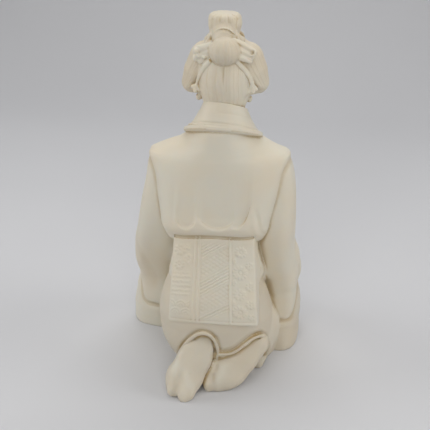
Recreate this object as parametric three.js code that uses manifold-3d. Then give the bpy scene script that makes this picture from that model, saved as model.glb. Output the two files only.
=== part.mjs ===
// A kneeling woman in a kimono, sitting on her heels: a figurine cast in one piece of
// alabaster. Millimetres, +Z up. She faces -Y, so her back, with the flap of the sash and the
// soles of her feet, is on the +Y side, and her own left hand is on the +X side.
// The modelling frame has the axis of her body at x = 0, y = 0 and the floor at z = 0. At the
// end the solid is moved so that the origin lies at the bottom centre of its bounding box.
//
// Every mass is a lofted or swept solid worked out from the named sizes below. The masses are
// joined into the one closed solid that a mould would give.
import * as THREE from "three";
import { mergeVertices } from "three/addons/utils/BufferGeometryUtils.js";
import Module from "manifold-3d";

const wasm = await Module();
wasm.setup();

// ---------------------------------------------------------------- named sizes
const LEFT = 1, // her left side is +X
  RIGHT = -1;
const HEAD_X = -2.2;

// Rows of the lofted masses, from the floor up: z, centre x, centre y, half width, depth to the
// back, depth to the front, squareness of the section.
const HIPS = [
  [-6, 1.5, 0, 25.5, 18, 30, 2.2],
  [0, 1.6, 1, 27, 20, 30, 2.2],
  [9, 1.8, 3, 28.8, 24, 30, 2.2],
  [19, 2.1, 5, 33.2, 28.6, 30, 2.15],
  [27, 2.2, 6, 35.9, 31, 30, 2.1],
  [38, 2.2, 6, 37.3, 33.2, 30, 2.1],
  [43, 2.3, 6, 37.3, 33.6, 30, 2.25],
  [50, 2.8, 5.5, 36.2, 33.3, 30, 2.5],
  [58, 3.3, 5, 34, 32, 28, 2.6],
  [66, 3.8, 4, 30.6, 29, 25, 2.5],
  [76, 3, 3, 26, 24, 22, 2.3],
  [88, 2, 2, 21, 19, 18, 2],
];
const LAP = [
  [-6, 0, -32, 35, 34, 46.5, 3.0],
  [3, 0, -32, 37.5, 36, 49, 3.0],
  [14, 0, -32, 39.5, 36, 49.5, 2.9],
  [26, 0, -32, 39.5, 34, 49, 2.8],
  [36, 0, -32, 36.5, 30, 45.5, 2.6],
  [43, 0, -32, 30, 24, 37, 2.5],
  [46.5, 0, -30, 20, 18, 26, 2.4],
];
const BODICE = [
  [94.2, 2.2, 0.5, 27.6, 20.5, 20, 2.7],
  [95.0, 2.2, 0.5, 29.8, 22.4, 21, 2.9],
  [96.6, 2.2, 0.6, 31.4, 24.0, 22, 3.1],
  [98.8, 2.0, 0.8, 32.8, 25.4, 22.6, 3.2],
  [102, 1.9, 1, 34.0, 26.2, 23.2, 3.2],
  [107, 1.8, 1, 35.2, 26.2, 24, 3.2],
  [114, 1.5, 0.6, 36.8, 25.6, 24.4, 3.1],
  [125, 1.0, 0, 39.0, 25.0, 24.5, 3.0],
  [140, 0.5, -1, 42.0, 24.4, 22.5, 3.0],
  [148, 0.7, -1, 44.6, 23.8, 19, 3.0],
  [151, 1.2, -1, 45.2, 23.5, 17, 2.9],
  [152.9, 1.8, -1, 44.2, 23.3, 16, 2.75],
  [155.0, 2.0, -1, 39.8, 23.0, 15, 2.5],
  [157.9, 1.2, -1, 33.4, 22.6, 14.4, 2.35],
  [160.4, -0.4, -1, 28.0, 22.2, 13.6, 2.25],
  [163, -0.8, -0.8, 24.8, 21.8, 12.6, 2.15],
  [166, -0.8, -0.6, 22.2, 21.4, 12, 2.1],
  [170, -1.2, -0.2, 19.6, 20.4, 10.6, 2.1],
  [173.5, -1.6, 0, 17.0, 18.0, 9, 2.05],
  [176.5, -2.2, 0, 13, 14, 8, 2],
  [178, -3, 0, 8, 8, 6, 2],
];
const LEAN = 0.036; // the left shoulder is carried lower than the right
const SLEEVE_L = [
  [15.0, 53.0, -46, 3.0, 4, 12, 2.3],
  [17.0, 53.4, -45.6, 7.6, 9.4, 18, 3.0],
  [21, 53.2, -45, 9.6, 12.4, 21, 3.6],
  [26, 52.9, -44.6, 10.4, 13.2, 23, 4.0],
  [32, 52.6, -44.2, 10.8, 13.6, 25, 4.0],
  [42.6, 52.4, -42.4, 11.2, 14.0, 27, 3.8],
  [47.5, 51.8, -40.4, 11.6, 14.6, 28, 3.4],
  [53, 51.2, -38.0, 13.2, 15.2, 29, 3.0],
  [61, 49.6, -33.6, 14.9, 16.5, 31, 2.6],
  [73.5, 47.0, -25.7, 15.8, 17.5, 30, 2.4],
  [84, 44.6, -19, 16.2, 17.6, 26, 2.4],
  [95, 41.8, -13, 15.9, 17.2, 21, 2.4],
  [115, 38.6, -5.5, 14.4, 16.2, 17, 2.4],
  [136, 36.6, -2, 11.6, 14.5, 15, 2.4],
  [146, 35.8, -1, 10.9, 13.4, 13, 2.4],
  [150.0, 35.6, -1, 10.2, 12.4, 12, 2.4],
  [152.0, 34.6, -1, 8.4, 9.5, 9.5, 2.2],
  [154.0, 30, -1, 3, 5, 5, 2],
];
const SLEEVE_R = [
  [22.6, -38.2, -28, 2.0, 4, 12, 2.1],
  [24.6, -38.3, -28, 4.0, 10, 20, 2.6],
  [28.8, -38.6, -27.8, 5.8, 13.2, 26, 3.2],
  [35, -39.0, -27.5, 7.7, 13.9, 29, 3.6],
  [41.7, -39.2, -27, 9.1, 14.2, 30, 3.6],
  [48, -39.0, -26, 9.6, 15.0, 31, 3.2],
  [54.5, -39.2, -24.2, 11.0, 16, 32, 2.8],
  [62, -38.6, -22, 12.0, 16.6, 32, 2.4],
  [67.7, -37.8, -19.6, 11.5, 17, 31, 2.4],
  [81.6, -36.4, -14, 11.5, 17.6, 28, 2.4],
  [94.7, -35.8, -9, 12.4, 17.6, 21, 2.4],
  [108, -35.8, -6, 12.6, 17, 18, 2.4],
  [122.8, -36, -3.3, 12.2, 15.6, 16, 2.4],
  [135.7, -36.2, -1.8, 11.1, 14.5, 15, 2.4],
  [148, -35.6, -1, 9.4, 13.4, 13, 2.4],
  [151.4, -34.8, -1, 8.8, 12.4, 12, 2.4],
  [153.6, -33.4, -1, 6.8, 9.5, 9.5, 2.2],
  [155.4, -29, -1, 3, 5, 5, 2],
];
const WRAP_L = [
  [-3, 52.6, -52, 16.8, 15.4, 18, 2.6],
  [3, 52.6, -52, 17.8, 16.8, 20, 2.6],
  [14, 52.4, -51.8, 17.8, 17.4, 20.4, 2.5],
  [29, 51.6, -51.4, 16.0, 17.4, 20, 2.4],
  [38, 50.8, -50.6, 13.8, 17.0, 19, 2.3],
  [43, 49.6, -49.6, 11.0, 15.6, 17, 2.3],
  [47, 48.6, -48, 8, 13, 14, 2.2],
  [50, 48, -47, 4, 7, 8, 2],
];
const WRAP_R = [
  [-3, -38.2, -38.6, 11.2, 22.4, 27, 2.5],
  [3, -38.2, -38.6, 12.3, 23.6, 29, 2.5],
  [14, -38.0, -38.4, 12.4, 23.0, 30, 2.4],
  [25, -38.1, -38, 12.6, 22.6, 30, 2.4],
  [34, -38.0, -37.4, 11.8, 22.4, 29, 2.4],
  [41.3, -37.8, -36.8, 10.7, 21.8, 28, 2.3],
  [47, -37.6, -36, 9.0, 20, 26, 2.3],
  [51.5, -37.6, -35, 6.0, 16, 22, 2.2],
  [54, -37.6, -34, 3, 8, 12, 2],
];
const RIM = [
  [165.4, -1.7, 0, 20.5, 18.4, 9, 2.15],
  [165.9, -1.7, 0, 23.8, 20.4, 10.5, 2.15],
  [166.6, -1.7, 0, 24.8, 21.2, 11, 2.15],
  [168.3, -1.7, 0, 24.8, 21.0, 11, 2.15],
  [169.1, -1.8, 0, 23.8, 20.4, 10.5, 2.15],
  [169.7, -1.8, 0, 21.5, 19.0, 10, 2.15],
];
const COLLAR = [
  [164, -2.6, 0, 15.0, 14.5, 12, 2.1],
  [167.2, -2.6, 0, 18.5, 17.4, 13, 2.1],
  [169.6, -2.5, 0, 23.0, 20.2, 14.6, 2.1],
  [170.8, -2.4, 0, 21.4, 20.0, 14.7, 2.1],
  [172.2, -2.4, 0.1, 20.0, 19.6, 14.4, 2.1],
  [174, -2.3, 0.2, 18.8, 18.9, 14, 2.05],
  [179, -2.5, 0.5, 16.2, 17.4, 13, 2],
  [184.4, -2.8, 0.8, 13.8, 16.0, 12, 2],
  [187.5, -2.8, 0.8, 12.9, 15.4, 11.4, 2],
];
const SASH = [
  [66, 2.2, 0.5, 30.0, 26.2, 22, 2.7],
  [71, 2.2, 1, 31.2, 27.4, 24.6, 2.8],
  [74, 2.0, 1, 30.8, 27.4, 25.4, 2.8],
  [82, 2.0, 1, 29.0, 26.0, 25.4, 2.8],
  [92, 1.6, 1, 27.2, 24.2, 25.2, 2.7],
  [104, 1.2, 0, 26.8, 22.5, 23.6, 2.6],
];
const NAPE = [
  [176, -2.8, 0, 11.0, 11.5, 8, 2.1],
  [183, -2.8, 0, 12.6, 13.4, 8, 2.1],
  [189, -2.8, 0, 14.6, 16.2, 8, 2.1],
  [195, -2.6, 0, 16.0, 18.4, 8, 2.1],
  [202, -2.4, 0, 16.6, 19.4, 10, 2.1],
  [210, -2.2, 0, 16.0, 18.2, 10, 2.1],
  [218, -2.2, 0, 13.4, 14.6, 10, 2.1],
  [223, -2.2, 0, 9.0, 10, 8, 2],
];
const KNOT = [
  [222, -1.8, -3, 7.5, 8, 10, 2.2],
  [228, -1.9, -3, 9.0, 9, 12, 2.5],
  [233, -2.0, -3, 10.1, 9.4, 13, 2.6],
  [236.6, -1.8, -3, 9.5, 8.8, 12.4, 2.4],
  [238.8, -1.3, -3, 7.2, 7.0, 10.0, 2.2],
  [240, -1.0, -3, 3.6, 4.0, 6.0, 2.1],
];
const FOOT_L = {
  hollow: [[[4.6, 37, 31.5], 8.4, [12, 44, 17], 9.2], [[12, 44, 17], 9.2, [19, 44, 6], 11.5]],
  rim: [[24.5, 20.4, 3], [22.8, 24.4, 11], [19.6, 30.6, 22], [15.0, 36.2, 33], [10.2, 39.0, 40.0], [6.0, 40.0, 42.4], [1.0, 39.8, 41.4], [-2.4, 38.6, 36.4], [-3.8, 36.8, 29], [-3.0, 33.6, 21]],
  rimR: 1.88,
  limbs: [
    [[5.6, 32.8, 32.4], 8.6, [11.4, 36.6, 20.6], 10.3],
    [[11.4, 36.6, 20.6], 10.3, [16.8, 40.8, 11.0], 10.8],
    [[15.6, 46, 6.6], 7.0, [14.9, 54.0, 5.2], 5.6],
    [[21.6, 44, 6.2], 6.0, [22.9, 49.2, 4.8], 4.6],
  ],
  ball: [[17.4, 42.6, 9.0], [11.9, 12.0, 9.2], [-24, 0, -24]],
  plane: [[11.4, 37.6, 20.6], [-0.08, 0.89, 0.44], 8.8],
};
const FOOT_R = {
  hollow: [[[-28, 23.4, 24.4], 8.6, [-18, 31.4, 15.4], 9.4], [[-18, 31.4, 15.4], 9.4, [-2, 36, 8], 11]],
  rim: [[-1.6, 33.4, 21], [-4.4, 35.4, 25.0], [-11.4, 34.0, 25.6], [-16.5, 33.0, 28.4], [-21.5, 31.4, 32.6], [-26.2, 27.6, 34.8], [-30.9, 21.4, 33.2], [-33.9, 15.0, 27.0], [-34.2, 9.6, 18], [-32.6, 6, 10]],
  rimR: 1.76,
  limbs: [
    [[-26.4, 18.8, 25.4], 8.8, [-17.6, 24.8, 17.0], 10.1],
    [[-17.6, 24.8, 17.0], 10.1, [-7.6, 29.2, 10.8], 10.9],
    [[-2, 31, 8.6], 6.6, [3.4, 32.0, 8.2], 5.6],
    [[-4, 35, 6], 6.6, [0.4, 39.2, 4.8], 5.2],
  ],
  ball: [[-7.4, 30.4, 9.2], [14.8, 13.6, 9.8], [-16, 0, 18]],
  plane: [[-16.0, 26.6, 16.0], [-0.16, 0.87, 0.46], 8.6],
};

// Fineness of every lattice: faces round and along a solid are scaled by this.
const FINE = 0.46;

// ---------------------------------------------------------------- helpers
const faces = (n, least) => Math.max(least, Math.round(n * FINE));
const V = (x, y, z) => new THREE.Vector3(x, y, z);
const deg = THREE.MathUtils.degToRad;
const sgnPow = (v, e) => Math.sign(v) * Math.pow(Math.abs(v), e);

// Monotone cubic through rows of [key, value, value, ...]: no overshoot between the rows.
function curveOf(rows) {
  const n = rows.length,
    m = rows[0].length;
  const k = rows.map((r) => r[0]);
  const slopes = [];
  for (let c = 1; c < m; c++) {
    const h = [],
      d = [];
    for (let i = 0; i < n - 1; i++) {
      h.push(k[i + 1] - k[i]);
      d.push((rows[i + 1][c] - rows[i][c]) / h[i]);
    }
    const s = new Array(n);
    s[0] = d[0];
    s[n - 1] = d[n - 2];
    for (let i = 1; i < n - 1; i++) {
      if (d[i - 1] * d[i] <= 0) s[i] = 0;
      else {
        const w1 = 2 * h[i] + h[i - 1],
          w2 = h[i] + 2 * h[i - 1];
        s[i] = (w1 + w2) / (w1 / d[i - 1] + w2 / d[i]);
      }
    }
    slopes.push(s);
  }
  return (x) => {
    x = Math.min(Math.max(x, k[0]), k[n - 1]);
    let i = 0;
    while (i < n - 2 && x > k[i + 1]) i++;
    const h = k[i + 1] - k[i],
      t = (x - k[i]) / h;
    const h00 = (1 + 2 * t) * (1 - t) ** 2,
      h10 = t * (1 - t) ** 2,
      h01 = t * t * (3 - 2 * t),
      h11 = t * t * (t - 1);
    return slopes.map(
      (s, c) => h00 * rows[i][c + 1] + h10 * h * s[i] + h01 * rows[i + 1][c + 1] + h11 * h * s[i + 1],
    );
  };
}

// A closed geometry as a solid, turned so that its faces point out.
function solid(geometry) {
  const g = geometry.clone();
  for (const name of Object.keys(g.attributes)) if (name !== "position") g.deleteAttribute(name);
  const merged = mergeVertices(g, 1e-4);
  const p = merged.attributes.position.array;
  const tri = new Uint32Array(merged.index.array);
  let six = 0;
  for (let i = 0; i < tri.length; i += 3) {
    const [a, b, c] = [tri[i] * 3, tri[i + 1] * 3, tri[i + 2] * 3];
    six +=
      p[a] * (p[b + 1] * p[c + 2] - p[b + 2] * p[c + 1]) +
      p[a + 1] * (p[b + 2] * p[c] - p[b] * p[c + 2]) +
      p[a + 2] * (p[b] * p[c + 1] - p[b + 1] * p[c]);
  }
  if (six < 0) for (let i = 0; i < tri.length; i += 3) [tri[i + 1], tri[i + 2]] = [tri[i + 2], tri[i + 1]];
  return new wasm.Manifold(new wasm.Mesh({ numProp: 3, vertProperties: new Float32Array(p), triVerts: tri }));
}

// The lattice of a closed cylinder, each vertex moved to at(angle, along 0..1, out 0 or 1).
function lattice(around, along, at) {
  const g = mergeVertices(
    (() => {
      const c = new THREE.CylinderGeometry(1, 1, 1, faces(around, 6), along > 3 ? faces(along, 3) : along);
      c.deleteAttribute("normal");
      c.deleteAttribute("uv");
      return c;
    })(),
    1e-4,
  );
  const p = g.attributes.position;
  for (let i = 0; i < p.count; i++) {
    const out = Math.hypot(p.getX(i), p.getZ(i));
    const q = at(Math.atan2(p.getZ(i), p.getX(i)), p.getY(i) + 0.5, out < 0.5 ? 0 : 1);
    p.setXYZ(i, q.x, q.y, q.z);
  }
  return g;
}

// Loft up Z. Rows: z, centre x, centre y, half width, half depth to the back, half depth to the
// front, squareness of the section. move(point, outward) places each point of the skin.
function uprightLoft(rows, around, along, move) {
  const f = curveOf(rows),
    z0 = rows[0][0],
    z1 = rows[rows.length - 1][0];
  return solid(
    lattice(around, along, (angle, t, out) => {
      const z = z0 + (z1 - z0) * t;
      const [cx, cy, a, back, front, n] = f(z);
      const c = sgnPow(Math.cos(angle), 2 / n),
        s = sgnPow(Math.sin(angle), 2 / n);
      const p = V(cx + out * a * c, cy + out * (s > 0 ? back : front) * s, z);
      return move ? move(p, V(c, s, 0).normalize().multiplyScalar(out)) : p;
    }),
  );
}

function ellipsoid(c, r, turn = [0, 0, 0], around = 20, along = 12) {
  const g = new THREE.SphereGeometry(1, faces(around, 6), faces(along, 4));
  g.scale(r[0], r[1], r[2]);
  g.applyMatrix4(new THREE.Matrix4().makeRotationFromEuler(new THREE.Euler(...turn.map(deg), "ZYX")));
  g.translate(...c);
  return solid(g);
}

// Two balls and the cone that is tangent to both: a limb, a finger or a cord.
function limb(a, ra, b, rb, around = 14, arc = 4) {
  const A = V(...a),
    B = V(...b),
    length = A.distanceTo(B);
  const lean = Math.asin(THREE.MathUtils.clamp((ra - rb) / length, -0.999, 0.999));
  const profile = [];
  arc = faces(arc, 2);
  for (let i = 0; i <= arc; i++) {
    const t = -Math.PI / 2 + (i / arc) * (Math.PI / 2 + lean);
    profile.push(new THREE.Vector2(i ? ra * Math.cos(t) : 0, ra * Math.sin(t)));
  }
  for (let i = 0; i <= arc; i++) {
    const t = lean + (i / arc) * (Math.PI / 2 - lean);
    profile.push(new THREE.Vector2(i < arc ? rb * Math.cos(t) : 0, length + rb * Math.sin(t)));
  }
  const g = new THREE.LatheGeometry(profile, faces(around, 5));
  g.applyQuaternion(new THREE.Quaternion().setFromUnitVectors(V(0, 1, 0), B.clone().sub(A).normalize()));
  g.translate(...a);
  return solid(g);
}

// A round or flat band laid along points: half width across it, half thickness along its normals.
function band(points, normals, halfWidth, halfThick, steps, around = 8, power = 0.6) {
  const path = new THREE.CatmullRomCurve3(points.map((p) => V(...p)), false, "centripetal");
  const lift = new THREE.CatmullRomCurve3(normals.map((p) => V(...p)));
  return solid(
    lattice(around, steps, (angle, t, out) => {
      const p = path.getPoint(t),
        T = path.getTangent(t),
        N = lift.getPoint(t);
      N.addScaledVector(T, -N.dot(T)).normalize();
      const B = new THREE.Vector3().crossVectors(T, N).normalize();
      p.addScaledVector(B, out * halfWidth * sgnPow(Math.cos(angle), power));
      p.addScaledVector(N, out * halfThick * sgnPow(Math.sin(angle), power));
      return p;
    }),
  );
}

// A closed ring of a round section about a centre and an axis.
function ring(c, axis, radius, thick, around = 20, across = 6) {
  const g = new THREE.TorusGeometry(radius, thick, faces(across, 4), faces(around, 8));
  g.applyQuaternion(new THREE.Quaternion().setFromUnitVectors(V(0, 0, 1), V(...axis).normalize()));
  g.translate(...c);
  return solid(g);
}

const slab = (x0, x1, y0, y1, z0, z1) => {
  const g = new THREE.BoxGeometry(x1 - x0, y1 - y0, z1 - z0);
  g.translate((x0 + x1) / 2, (y0 + y1) / 2, (z0 + z1) / 2);
  return solid(g);
};
const join = (list) => list.reduce((a, b) => a.add(b));

// Everything beyond a plane at distance h from c along the normal n.
const beyond = (c, n, h) => {
  const g = new THREE.BoxGeometry(160, 160, 80);
  g.translate(0, 0, 40 + h);
  g.applyQuaternion(new THREE.Quaternion().setFromUnitVectors(V(0, 0, 1), V(...n).normalize()));
  g.translate(...c);
  return solid(g);
};

// A solid stretched by factors s about the point c.
const stretched = (m, c, s) => m.translate(-c[0], -c[1], -c[2]).scale(s).translate(...c);

const step = (lo, hi, v) => {
  const t = THREE.MathUtils.clamp((v - lo) / (hi - lo), 0, 1);
  return t * t * (3 - 2 * t);
};
const bell = (v, w) => Math.exp(-((v / w) ** 2));


// ---------------------------------------------------------------- seat: hips, lap and robe
const robe = join([
  uprightLoft(HIPS, 36, 12),
  limb([17, -6, 25], 22, [20.5, -57, 23.5], 23.2, 18, 5),
  limb([-15, -6, 25], 21.5, [-20.5, -57, 23.5], 23.2, 18, 5),
  uprightLoft(LAP, 26, 7),
  limb([-27.2, 7.4, 3.0], 3.6, [-26.4, -3, 9], 8.4, 10, 3),
]);

// ---------------------------------------------------------------- feet and rolled hem
// A hollow behind each heel, the rolled hem of the robe round it, and the sole that fills it:
// heel, arch, ball and toes, planed to the gentle hollow of a sole.
const feet = [FOOT_L, FOOT_R];
const hollows = join(feet.flatMap((f) => f.hollow.map((h) => limb(...h, 13, 3))));
const hems = feet.map((f) =>
  band(f.rim, f.rim.map(([x, y, z]) => [0, 1, 0.4]), f.rimR, f.rimR, 26, 6, 1),
);
const soles = feet.map((f) =>
  join([...f.limbs.map((l) => limb(...l, 13, 3)), ellipsoid(f.ball[0], f.ball[1], f.ball[2], 14, 9)]).subtract(beyond(...f.plane)),
);

// ---------------------------------------------------------------- sash and the flap behind
const sash = uprightLoft(SASH, 34, 5);
const FLAP = { low: 49.6, high: 106, x: -0.3, half: 28.9, wrap: 6.8, thick: 14 };
const flapBack = curveOf([
  [46, 40.5],
  [50, 40.3],
  [60, 38.9],
  [72, 34.9],
  [86, 29.6],
  [99, 26.2],
  [106, 25.2],
]);
const flap = solid(
  lattice(34, 10, (angle, t, out) => {
    const u = sgnPow(Math.cos(angle), 0.22),
      w = sgnPow(Math.sin(angle), 0.22);
    // The lower edge is bowed; the sides draw in a little towards the top.
    const low = FLAP.low - 3.4 * u * u * out - 0.5 * u * out,
      z = THREE.MathUtils.lerp(low, FLAP.high, t),
      k = (z - 48.5) / 53.5,
      half = FLAP.half - 3.0 * k;
    const back = flapBack(z)[0] - (FLAP.wrap - 1.8 * k) * out * Math.abs(u) ** 2.3;
    return V(FLAP.x + 1.6 * k + out * half * u, w > 0 || !out ? back - (out ? 0 : FLAP.thick / 2) : back - FLAP.thick, z);
  }),
);

// ---------------------------------------------------------------- bodice
// Pouches where the cloth blouses over the sash: x and z of the lowest point, rise with the
// square and fourth power of the distance from it, half width, fade upward, depth.
const POUCHES = [
  [-1.6, 109.0, 0.042, 0.0, 12.2, 14.0, 1.5],
  [-13.4, 110.6, 0.085, 0.0013, 9.4, 19.0, 1.4],
  [18.4, 108.2, 0.11, 0.0, 6.6, 13.0, 1.2],
];
const swell = (x, y, z) => {
  if (y < 4) return 0;
  let dent = 0;
  for (const [cx, cz, a2, a4, half, fade, depth] of POUCHES) {
    const d = x - cx,
      t = z - (cz + a2 * d ** 2 + a4 * d ** 4);
    dent = Math.max(dent, depth * step(-1.3, 1.9, t) * Math.exp(-((Math.max(z - cz, 0) / fade) ** 1.3)) * step(1.12, 0.74, Math.abs(d) / half));
  }
  return (0.5 * bell(z - 107, 3.5) - dent - 0.5 * bell(x - 4, 13) * bell(z - 140, 14)) * step(4, 14, y);
};
const bodice = uprightLoft(BODICE, 40, 24, (p, out) => {
  const d = swell(p.x, p.y, p.z + 6);
  const z = p.z;
  p.addScaledVector(out, d);
  // The back rounds forward towards the line of the shoulders.
  const wide = Math.abs(p.x + 1);
  const down = Math.max(166 - 0.3 * Math.max(wide - 12, 0) - z, 0);
  const turn = 13 * Math.exp(-((down / 9) ** 1.2)) * step(8, 28, wide);
  const y0 = p.y;
  for (let i = 0; i < 14; i++) p.y += 0.6 * (y0 - turn * step(-10, 14, p.y) - p.y);
  // The lower edge hangs lower behind, and one shoulder is carried higher.
  for (let i = 0; i < 4; i++) p.z = z - LEAN * p.x + 0.34 * Math.max(p.y - 6, -2) * step(134, 104, p.z);
  return p;
});

// ---------------------------------------------------------------- sleeves
// Long sleeves hang from the forearms to the floor; each ends in a tongue that laps over the
// wider under-sleeve standing on the ground beside the knee.
const turned = (m, [x, y], angle) => m.translate(-x, -y, 0).rotate(0, 0, angle).translate(x, y, 0);
const sleeves = [
  uprightLoft(SLEEVE_L, 26, 18, (p) => {
    p.y -= 0.2 * (p.x - 52) * step(64, 36, p.z);
    return p;
  }),
  uprightLoft(SLEEVE_R, 26, 18),
];
const underSleeves = [turned(uprightLoft(WRAP_L, 24, 8), [53, -52], -14), uprightLoft(WRAP_R, 24, 8)];
const arms = [
  limb([45, -28, 73], 13, [23, -49, 63], 10.6, 14, 3),
  limb([46, -42, 56], 12.4, [29, -53, 53], 10, 14, 3),
  limb([-38, -20, 73], 13, [-22, -48, 63.5], 10.6, 14, 3),
  limb([-38, -34, 56], 12.4, [-27, -52, 53], 10, 14, 3),
  limb([27, -7, 100], 9, [32, -15, 72], 11, 12, 3),
  limb([32, -24, 72], 8, [36, -42, 50], 10, 12, 3),
  limb([36, -42, 50], 10, [38, -50, 30], 12, 12, 3),
  limb([-25, -7, 100], 9, [-28, -14, 70], 11, 12, 3),
  limb([-29, -20, 68], 10, [-31, -27, 44], 12, 12, 3),
  limb([-31, -27, 44], 12, [-31, -29, 20], 13, 12, 3),
];
const cuffs = [
  [LEFT, 21.5],
  [RIGHT, -20.5],
].map(([s, x]) => ring([x, -51, 61.5], [-s * 0.86, -0.42, -0.28], 8.6, 1.4, 20, 5));

// Hands laid one over the other on the lap: wrist, palm, four fingers side by side, thumb.
const hand = (s, dx, dy, dz) => {
  const fingers = [9.6, 11.4, 10.8, 8.4].map((reach, i) => {
    const y = dy + 4.2 - 2.9 * i;
    return limb([dx + s, y, dz + 0.2], 1.95, [dx - s * (reach - 0.6), y - 0.5, dz - 3.0], 1.4, 7, 2);
  });
  return join([
    limb([s * 22, -55, 57.5 + (s > 0 ? 2 : 0)], 5.4, [dx + s * 11, dy + 1, dz], 5, 10, 3),
    ellipsoid([dx + s * 5.5, dy, dz], [8.6, 6.4, 3.6], [0, 0, -s * 10], 12, 7),
    ...fingers,
    limb([dx + s * 7, dy + 5, dz + 0.4], 2.2, [dx - s, dy + 8.2, dz - 0.6], 1.5, 7, 2),
  ]);
};
const hands = [hand(RIGHT, -2, -58.5, 52.5), hand(LEFT, 3, -60.5, 56.8)];

// ---------------------------------------------------------------- collar and neck
// Levels of the collar lean: they rise by ax per mm of x and ay per mm of y.
const leaning = (ax, ay) => (p) => {
  p.z += ax * (p.x + 2.8) + ay * (p.y - 5);
  return p;
};
const lean = leaning(0.05, 0.44);
const rim = uprightLoft(RIM, 34, 4, leaning(0.02, 0.44));
const collar = uprightLoft(COLLAR, 32, 9, lean);
const collarIn = uprightLoft(
  [
    [172, -2.8, 1.0, 10.5, 9.5, 9, 2],
    [184, -2.8, 0.9, 12.4, 14.6, 11.6, 2],
    [193, -2.8, 0.8, 12.4, 15, 12.4, 2],
  ],
  22,
  3,
  lean,
);
const collarTop = uprightLoft(
  [
    [184.6, -2.8, 2, 40, 40, 40, 2],
    [199, -2.8, 2, 40, 40, 40, 2],
  ],
  12,
  1,
  leaning(0.09, 0.44),
);
// The fronts part at the throat in a V, which this wedge opens.
const throat = (() => {
  const g = new THREE.ExtrudeGeometry(
    new THREE.Shape([
      [0, 150.5],
      [17.6, 190],
      [-17.6, 190],
    ].map(([x, z]) => new THREE.Vector2(x + HEAD_X, z))),
    { depth: 36, bevelEnabled: false },
  );
  g.rotateX(Math.PI / 2);
  g.translate(0, -4, 0);
  return solid(g);
})();
const neck = join([
  limb([HEAD_X, 0.5, 160], 9.6, [HEAD_X, -1.5, 190], 8.8, 16, 3),
  ellipsoid([HEAD_X, -2.5, 152], [17, 10.6, 15], [0, 0, 0], 18, 10),
  ellipsoid([HEAD_X, 12.2, 181.6], [6, 3, 4.6]), // closes the neck to the collar behind
]);

// ---------------------------------------------------------------- head and dressed hair
const face = join([
  ellipsoid([HEAD_X, -3.5, 204], [15, 17.2, 19.5], [0, 0, 0], 22, 14),
  ellipsoid([HEAD_X, -9.2, 194.2], [12, 12.4, 13.8], [-6, 0, 0], 20, 12),
  ellipsoid([HEAD_X, -18.2, 184.6], [4.4, 3.6, 3.6], [0, 0, 0], 10, 7),
  limb([HEAD_X, -20, 204], 1.4, [HEAD_X, -23.6, 195.6], 1.9, 8, 2),
  ellipsoid([HEAD_X, -23.4, 194.8], [3, 2, 1.7], [0, 0, 0], 8, 6),
  ellipsoid([HEAD_X, -20.4, 189.2], [3.4, 1.9, 1.9], [0, 0, 0], 10, 6),
]);
const nape = join([
  uprightLoft(NAPE, 28, 9),
  ...[
    [LEFT, 6.2],
    [RIGHT, -11],
  ].map(([s, x]) => limb([x + s * 3, 0, 206], 7, [x + s * 6, -2, 195], 5.6, 12, 3)),
]);
// Each wing of side hair: two tapering rolls, flat below.
const wing = (c, n, h, a, ra, b, rb, d, rd) =>
  stretched(join([limb(a, ra, b, rb, 16, 4), limb(b, rb, d, rd, 16, 4)]), [0, -4, 200], [1, 1.42, 1]).subtract(beyond(c, n, h));
const wings = [
  wing([18.2, -1, 196.2], [0.15, 0.62, -0.77], 5.9, [18.2, -4, 196.2], 6.8, [14.8, -4.5, 203.6], 8.8, [10.2, -5, 211.2], 10.2),
  wing([-22.3, -1, 197.6], [-0.12, 0.66, -0.74], 4.9, [-22.3, -4, 197.6], 7, [-18.6, -4.5, 204.4], 9.4, [-15, -5, 210.9], 10.6),
];
const hair = [
  ellipsoid([HEAD_X, -9, 216.5], [15, 13, 9.6], [14, 0, 0], 22, 12),
  stretched(limb([HEAD_X + 11.5, -10, 211.6], 5.4, [HEAD_X - 11.5, -10, 211.6], 5.4, 12, 3), [HEAD_X, -10, 211.6], [1, 1.35, 0.95]),
  ellipsoid([HEAD_X + 0.6, 0, 218.6], [13.5, 14, 8.6], [0, 0, 0], 18, 9),
  ellipsoid([-4.2, 14, 220.5], [9.5, 9, 8.4], [0, 0, 0], 20, 13),
  limb([-2.6, 7.5, 226.4], 6.2, [-2.2, 1, 229.5], 7, 14, 3),
  uprightLoft(KNOT, 24, 8),
  ellipsoid([HEAD_X, -15.5, 222], [10.4, 1.7, 7], [-18, 0, 0], 16, 8), // comb before the knot
];
const ears = [
  [LEFT, 13.8],
  [RIGHT, -16.9],
].map(([s, x]) => ellipsoid([x - s * 0.8, -2.5, 190.5], [2, 3.2, 5.2], [0, 0, s * 10], 8, 6));
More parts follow.
